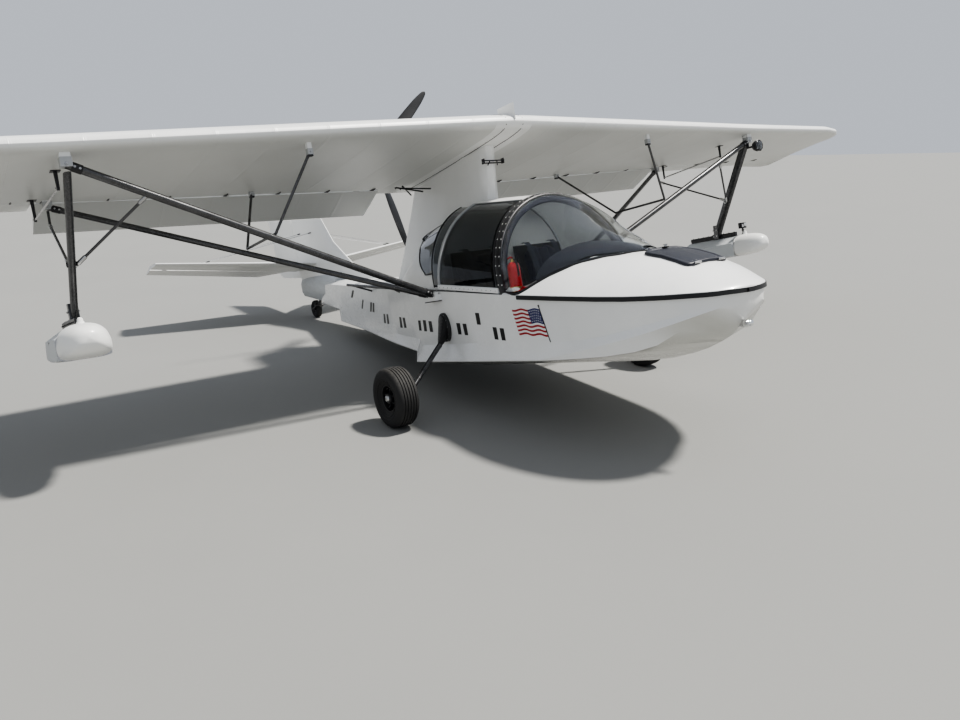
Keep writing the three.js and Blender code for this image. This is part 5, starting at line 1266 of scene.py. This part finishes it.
def control_runs(plates, skin, sign):
    """Hinge brackets along the wing's back and the pushrod under the wing."""
    for first, pitch, count, (x0, z0), (x1, z1) in HINGES:
        for x in range(first, first + pitch * count, pitch):
            z = lerp(z0, z1, (x - x0) / (x1 - x0))
            plates.tube([(x - 9, 650, z), (x + 9, 650, z)], 9, 14)
            plates.tube([(x, 648, z - 4), (x, 610, z - 12), (x, 575, z - 8)], [7, 6, 4], 10)
    plates.tube(PUSHROD, 6, 10, 1)
    for spot in PUSHROD:
        root = skin.toward((spot.x * sign, spot.y, spot.z - 200), UP)
        if root:
            root = vec(spot.x, spot.y, root[0].z + 4)
            plates.tube([root, spot - UP * 12], [11, 8])
            plates.block(root - vec(26, 30, 7), root + vec(26, 30, -1))
            plates.bolt(spot + ACROSS * 8, ACROSS, 5, 1)


def centre_seams():
    seams, skin = Build(), Skin("wing_centre")
    for x in (-70, 70):
        for way in (-1, 1):
            path = []
            for k, y in enumerate(steps(-728, 640, 39)):
                hit = skin.toward((x, y, 1500 + way * 400), UP * -way, 0.5)
                if hit:
                    path.append(hit[0])
                    if k % 3 == 1:
                        seams.rivet(hit[0] + ACROSS * math.copysign(14, x), UP * way, 3, 1)
            if len(path) > 3:
                seams.tube(path, 3.5, 6, squash=0.5, up=ACROSS)
    seams.done("wing_centre_seams", "white_fabric", ["rubber", "steel"])


def pylon_clamps():
    clamp = Build()
    for y, z in ((-418, 1436), (-432, 1450)):
        clamp.tube([(-92, y, z), (0, y - 3, z - 2), (92, y, z)], 4.5)
    for x in (-84, 84):
        clamp.block((x - 3, -440, 1428), (x + 3, -408, 1464), 0, 1.5)
        clamp.bolt((x + math.copysign(3, x), -424, 1440), ACROSS * x, 4, 1)
    for x in (-30, 30):
        clamp.tube([(x, -430, 1448), (x * 1.4, -412, 1420)], 4, 10)
    for x0, y0, x1, y1 in ((-90, 300, -230, 520), (-90, 420, -300, 470), (-120, 560, -260, 430)):
        for way in (-1, 1):
            clamp.tube([(x0 * way, y0, 1400), (x1 * way, y1, 1452)], 6, 10)
            clamp.bolt((x1 * way, y1, 1450), -UP, 7)
    clamp.done("pylon_top_clamps", "dark_steel", ["black", "steel"])


def fittings():
    for side, _, sign in SIDES:
        plates, wires = Build(sign), Build(sign)
        strut_plates(plates)
        control_runs(plates, Skin(f"wing_{side}"), sign)
        plates.done(f"strut_fittings_{side}", "dark_steel", ["black", "steel", "grey"])
        for start, end in WIRE_ENDS:
            start, end = Vector(start), Vector(end)
            along = (end - start).normalized()
            wires.tube([start, end], 3.2, 8)
            for spot, inward in ((start, along), (end, -along)):
                wires.tube([spot + inward * 4, spot + inward * 34], 6, 8, 1)
                wires.bolt(spot, -inward, 6, 1)
        wires.done(f"tail_wires_{side}", "dark_steel", ["steel", "black"])
    centre_seams()
    pylon_clamps()
    mast = Build().loft([[(x * s, y, z) for x, y in MAST] for s, z in ((1, 1655), (0.9, 1720), (0.5, 1768))])
    mast.done("centre_aerial_fin", "white_gelcoat", ["upper"], smooth=50)


def action_camera():
    cube, lens = Build(origin=vec(FLOAT_X, -313, 709)), (13, -19, 87)
    cube.turned([(0, 20), (5, 20), (8, 12), (10, 9)], CENTRE, (0, -0.05, 1), 24)
    cube.tube([(0, 0, 8), (0, 0, 32), (0, 0, 58)], [8, 6, 9])
    cube.tube([(-13, 0, 40), (13, 0, 40)], 6)
    cube.block((-36, -19, 56), (36, 19, 108), 0, 5)
    cube.turned([(0, 17), (5, 17), (6, 14), (6, 1)], lens, -AFT, 28, 1)
    cube.turned([(6, 10), (7.5, 8), (8, 2)], lens, -AFT, 24, 2)
    cube.block((-30, -20.4, 68), (-9, -18, 90), 1)
    cube.done("float_camera", "black_trim", ["black", "grey", "mirror"])


# Camera, floor and light

SKY, SKY_STRENGTH = (0.86, 0.91, 1.0, 1), 0.62
SUN, SUN_STRENGTH, SUN_WAY = (1.0, 0.97, 0.92), 6.0, Vector((-0.45, 0.2, -0.87))
FLOOR_SIZE = 160


def camera():
    data = bpy.data.cameras.new("camera")
    data.sensor_width = SENSOR
    data.lens = FOCAL_PIXELS * SENSOR / PICTURE[0]
    data.clip_end = 200
    body = link_object("camera", data)
    body.matrix_world = Matrix.Translation(CRAFT @ CAMERA_PLACE) @ CAMERA_TURN
    bpy.context.scene.camera = body


def floor():
    bpy.ops.mesh.primitive_plane_add(size=FLOOR_SIZE)
    plane = bpy.context.object
    plane.name = "floor"
    plane.data.materials.append(material("floor", (0.25, 0.25, 0.24), 0.8, tone=0.02, blotch=0.6))


def lights():
    world = bpy.data.worlds.new("studio")
    world.use_nodes = True
    sky = world.node_tree.nodes["Background"]
    sky.inputs[0].default_value, sky.inputs[1].default_value = SKY, SKY_STRENGTH
    bpy.context.scene.world = world
    bpy.context.scene.view_settings.look = "AgX - Medium High Contrast"
    sun = bpy.data.lights.new("sun", "SUN")
    sun.energy, sun.angle, sun.color = SUN_STRENGTH, math.radians(5), SUN
    link_object("sun", sun).rotation_euler = SUN_WAY.to_track_quat("-Z", "Y").to_euler()


camera()
floor()
lights()
dress_nodes()
arch()
windscreen()
hatches()
fairing_glass()
wheels()
gear()
marks()
propeller()
engine()
floats()
lid()
seats()
cabin()
lamp()
bow()
fittings()
action_camera()
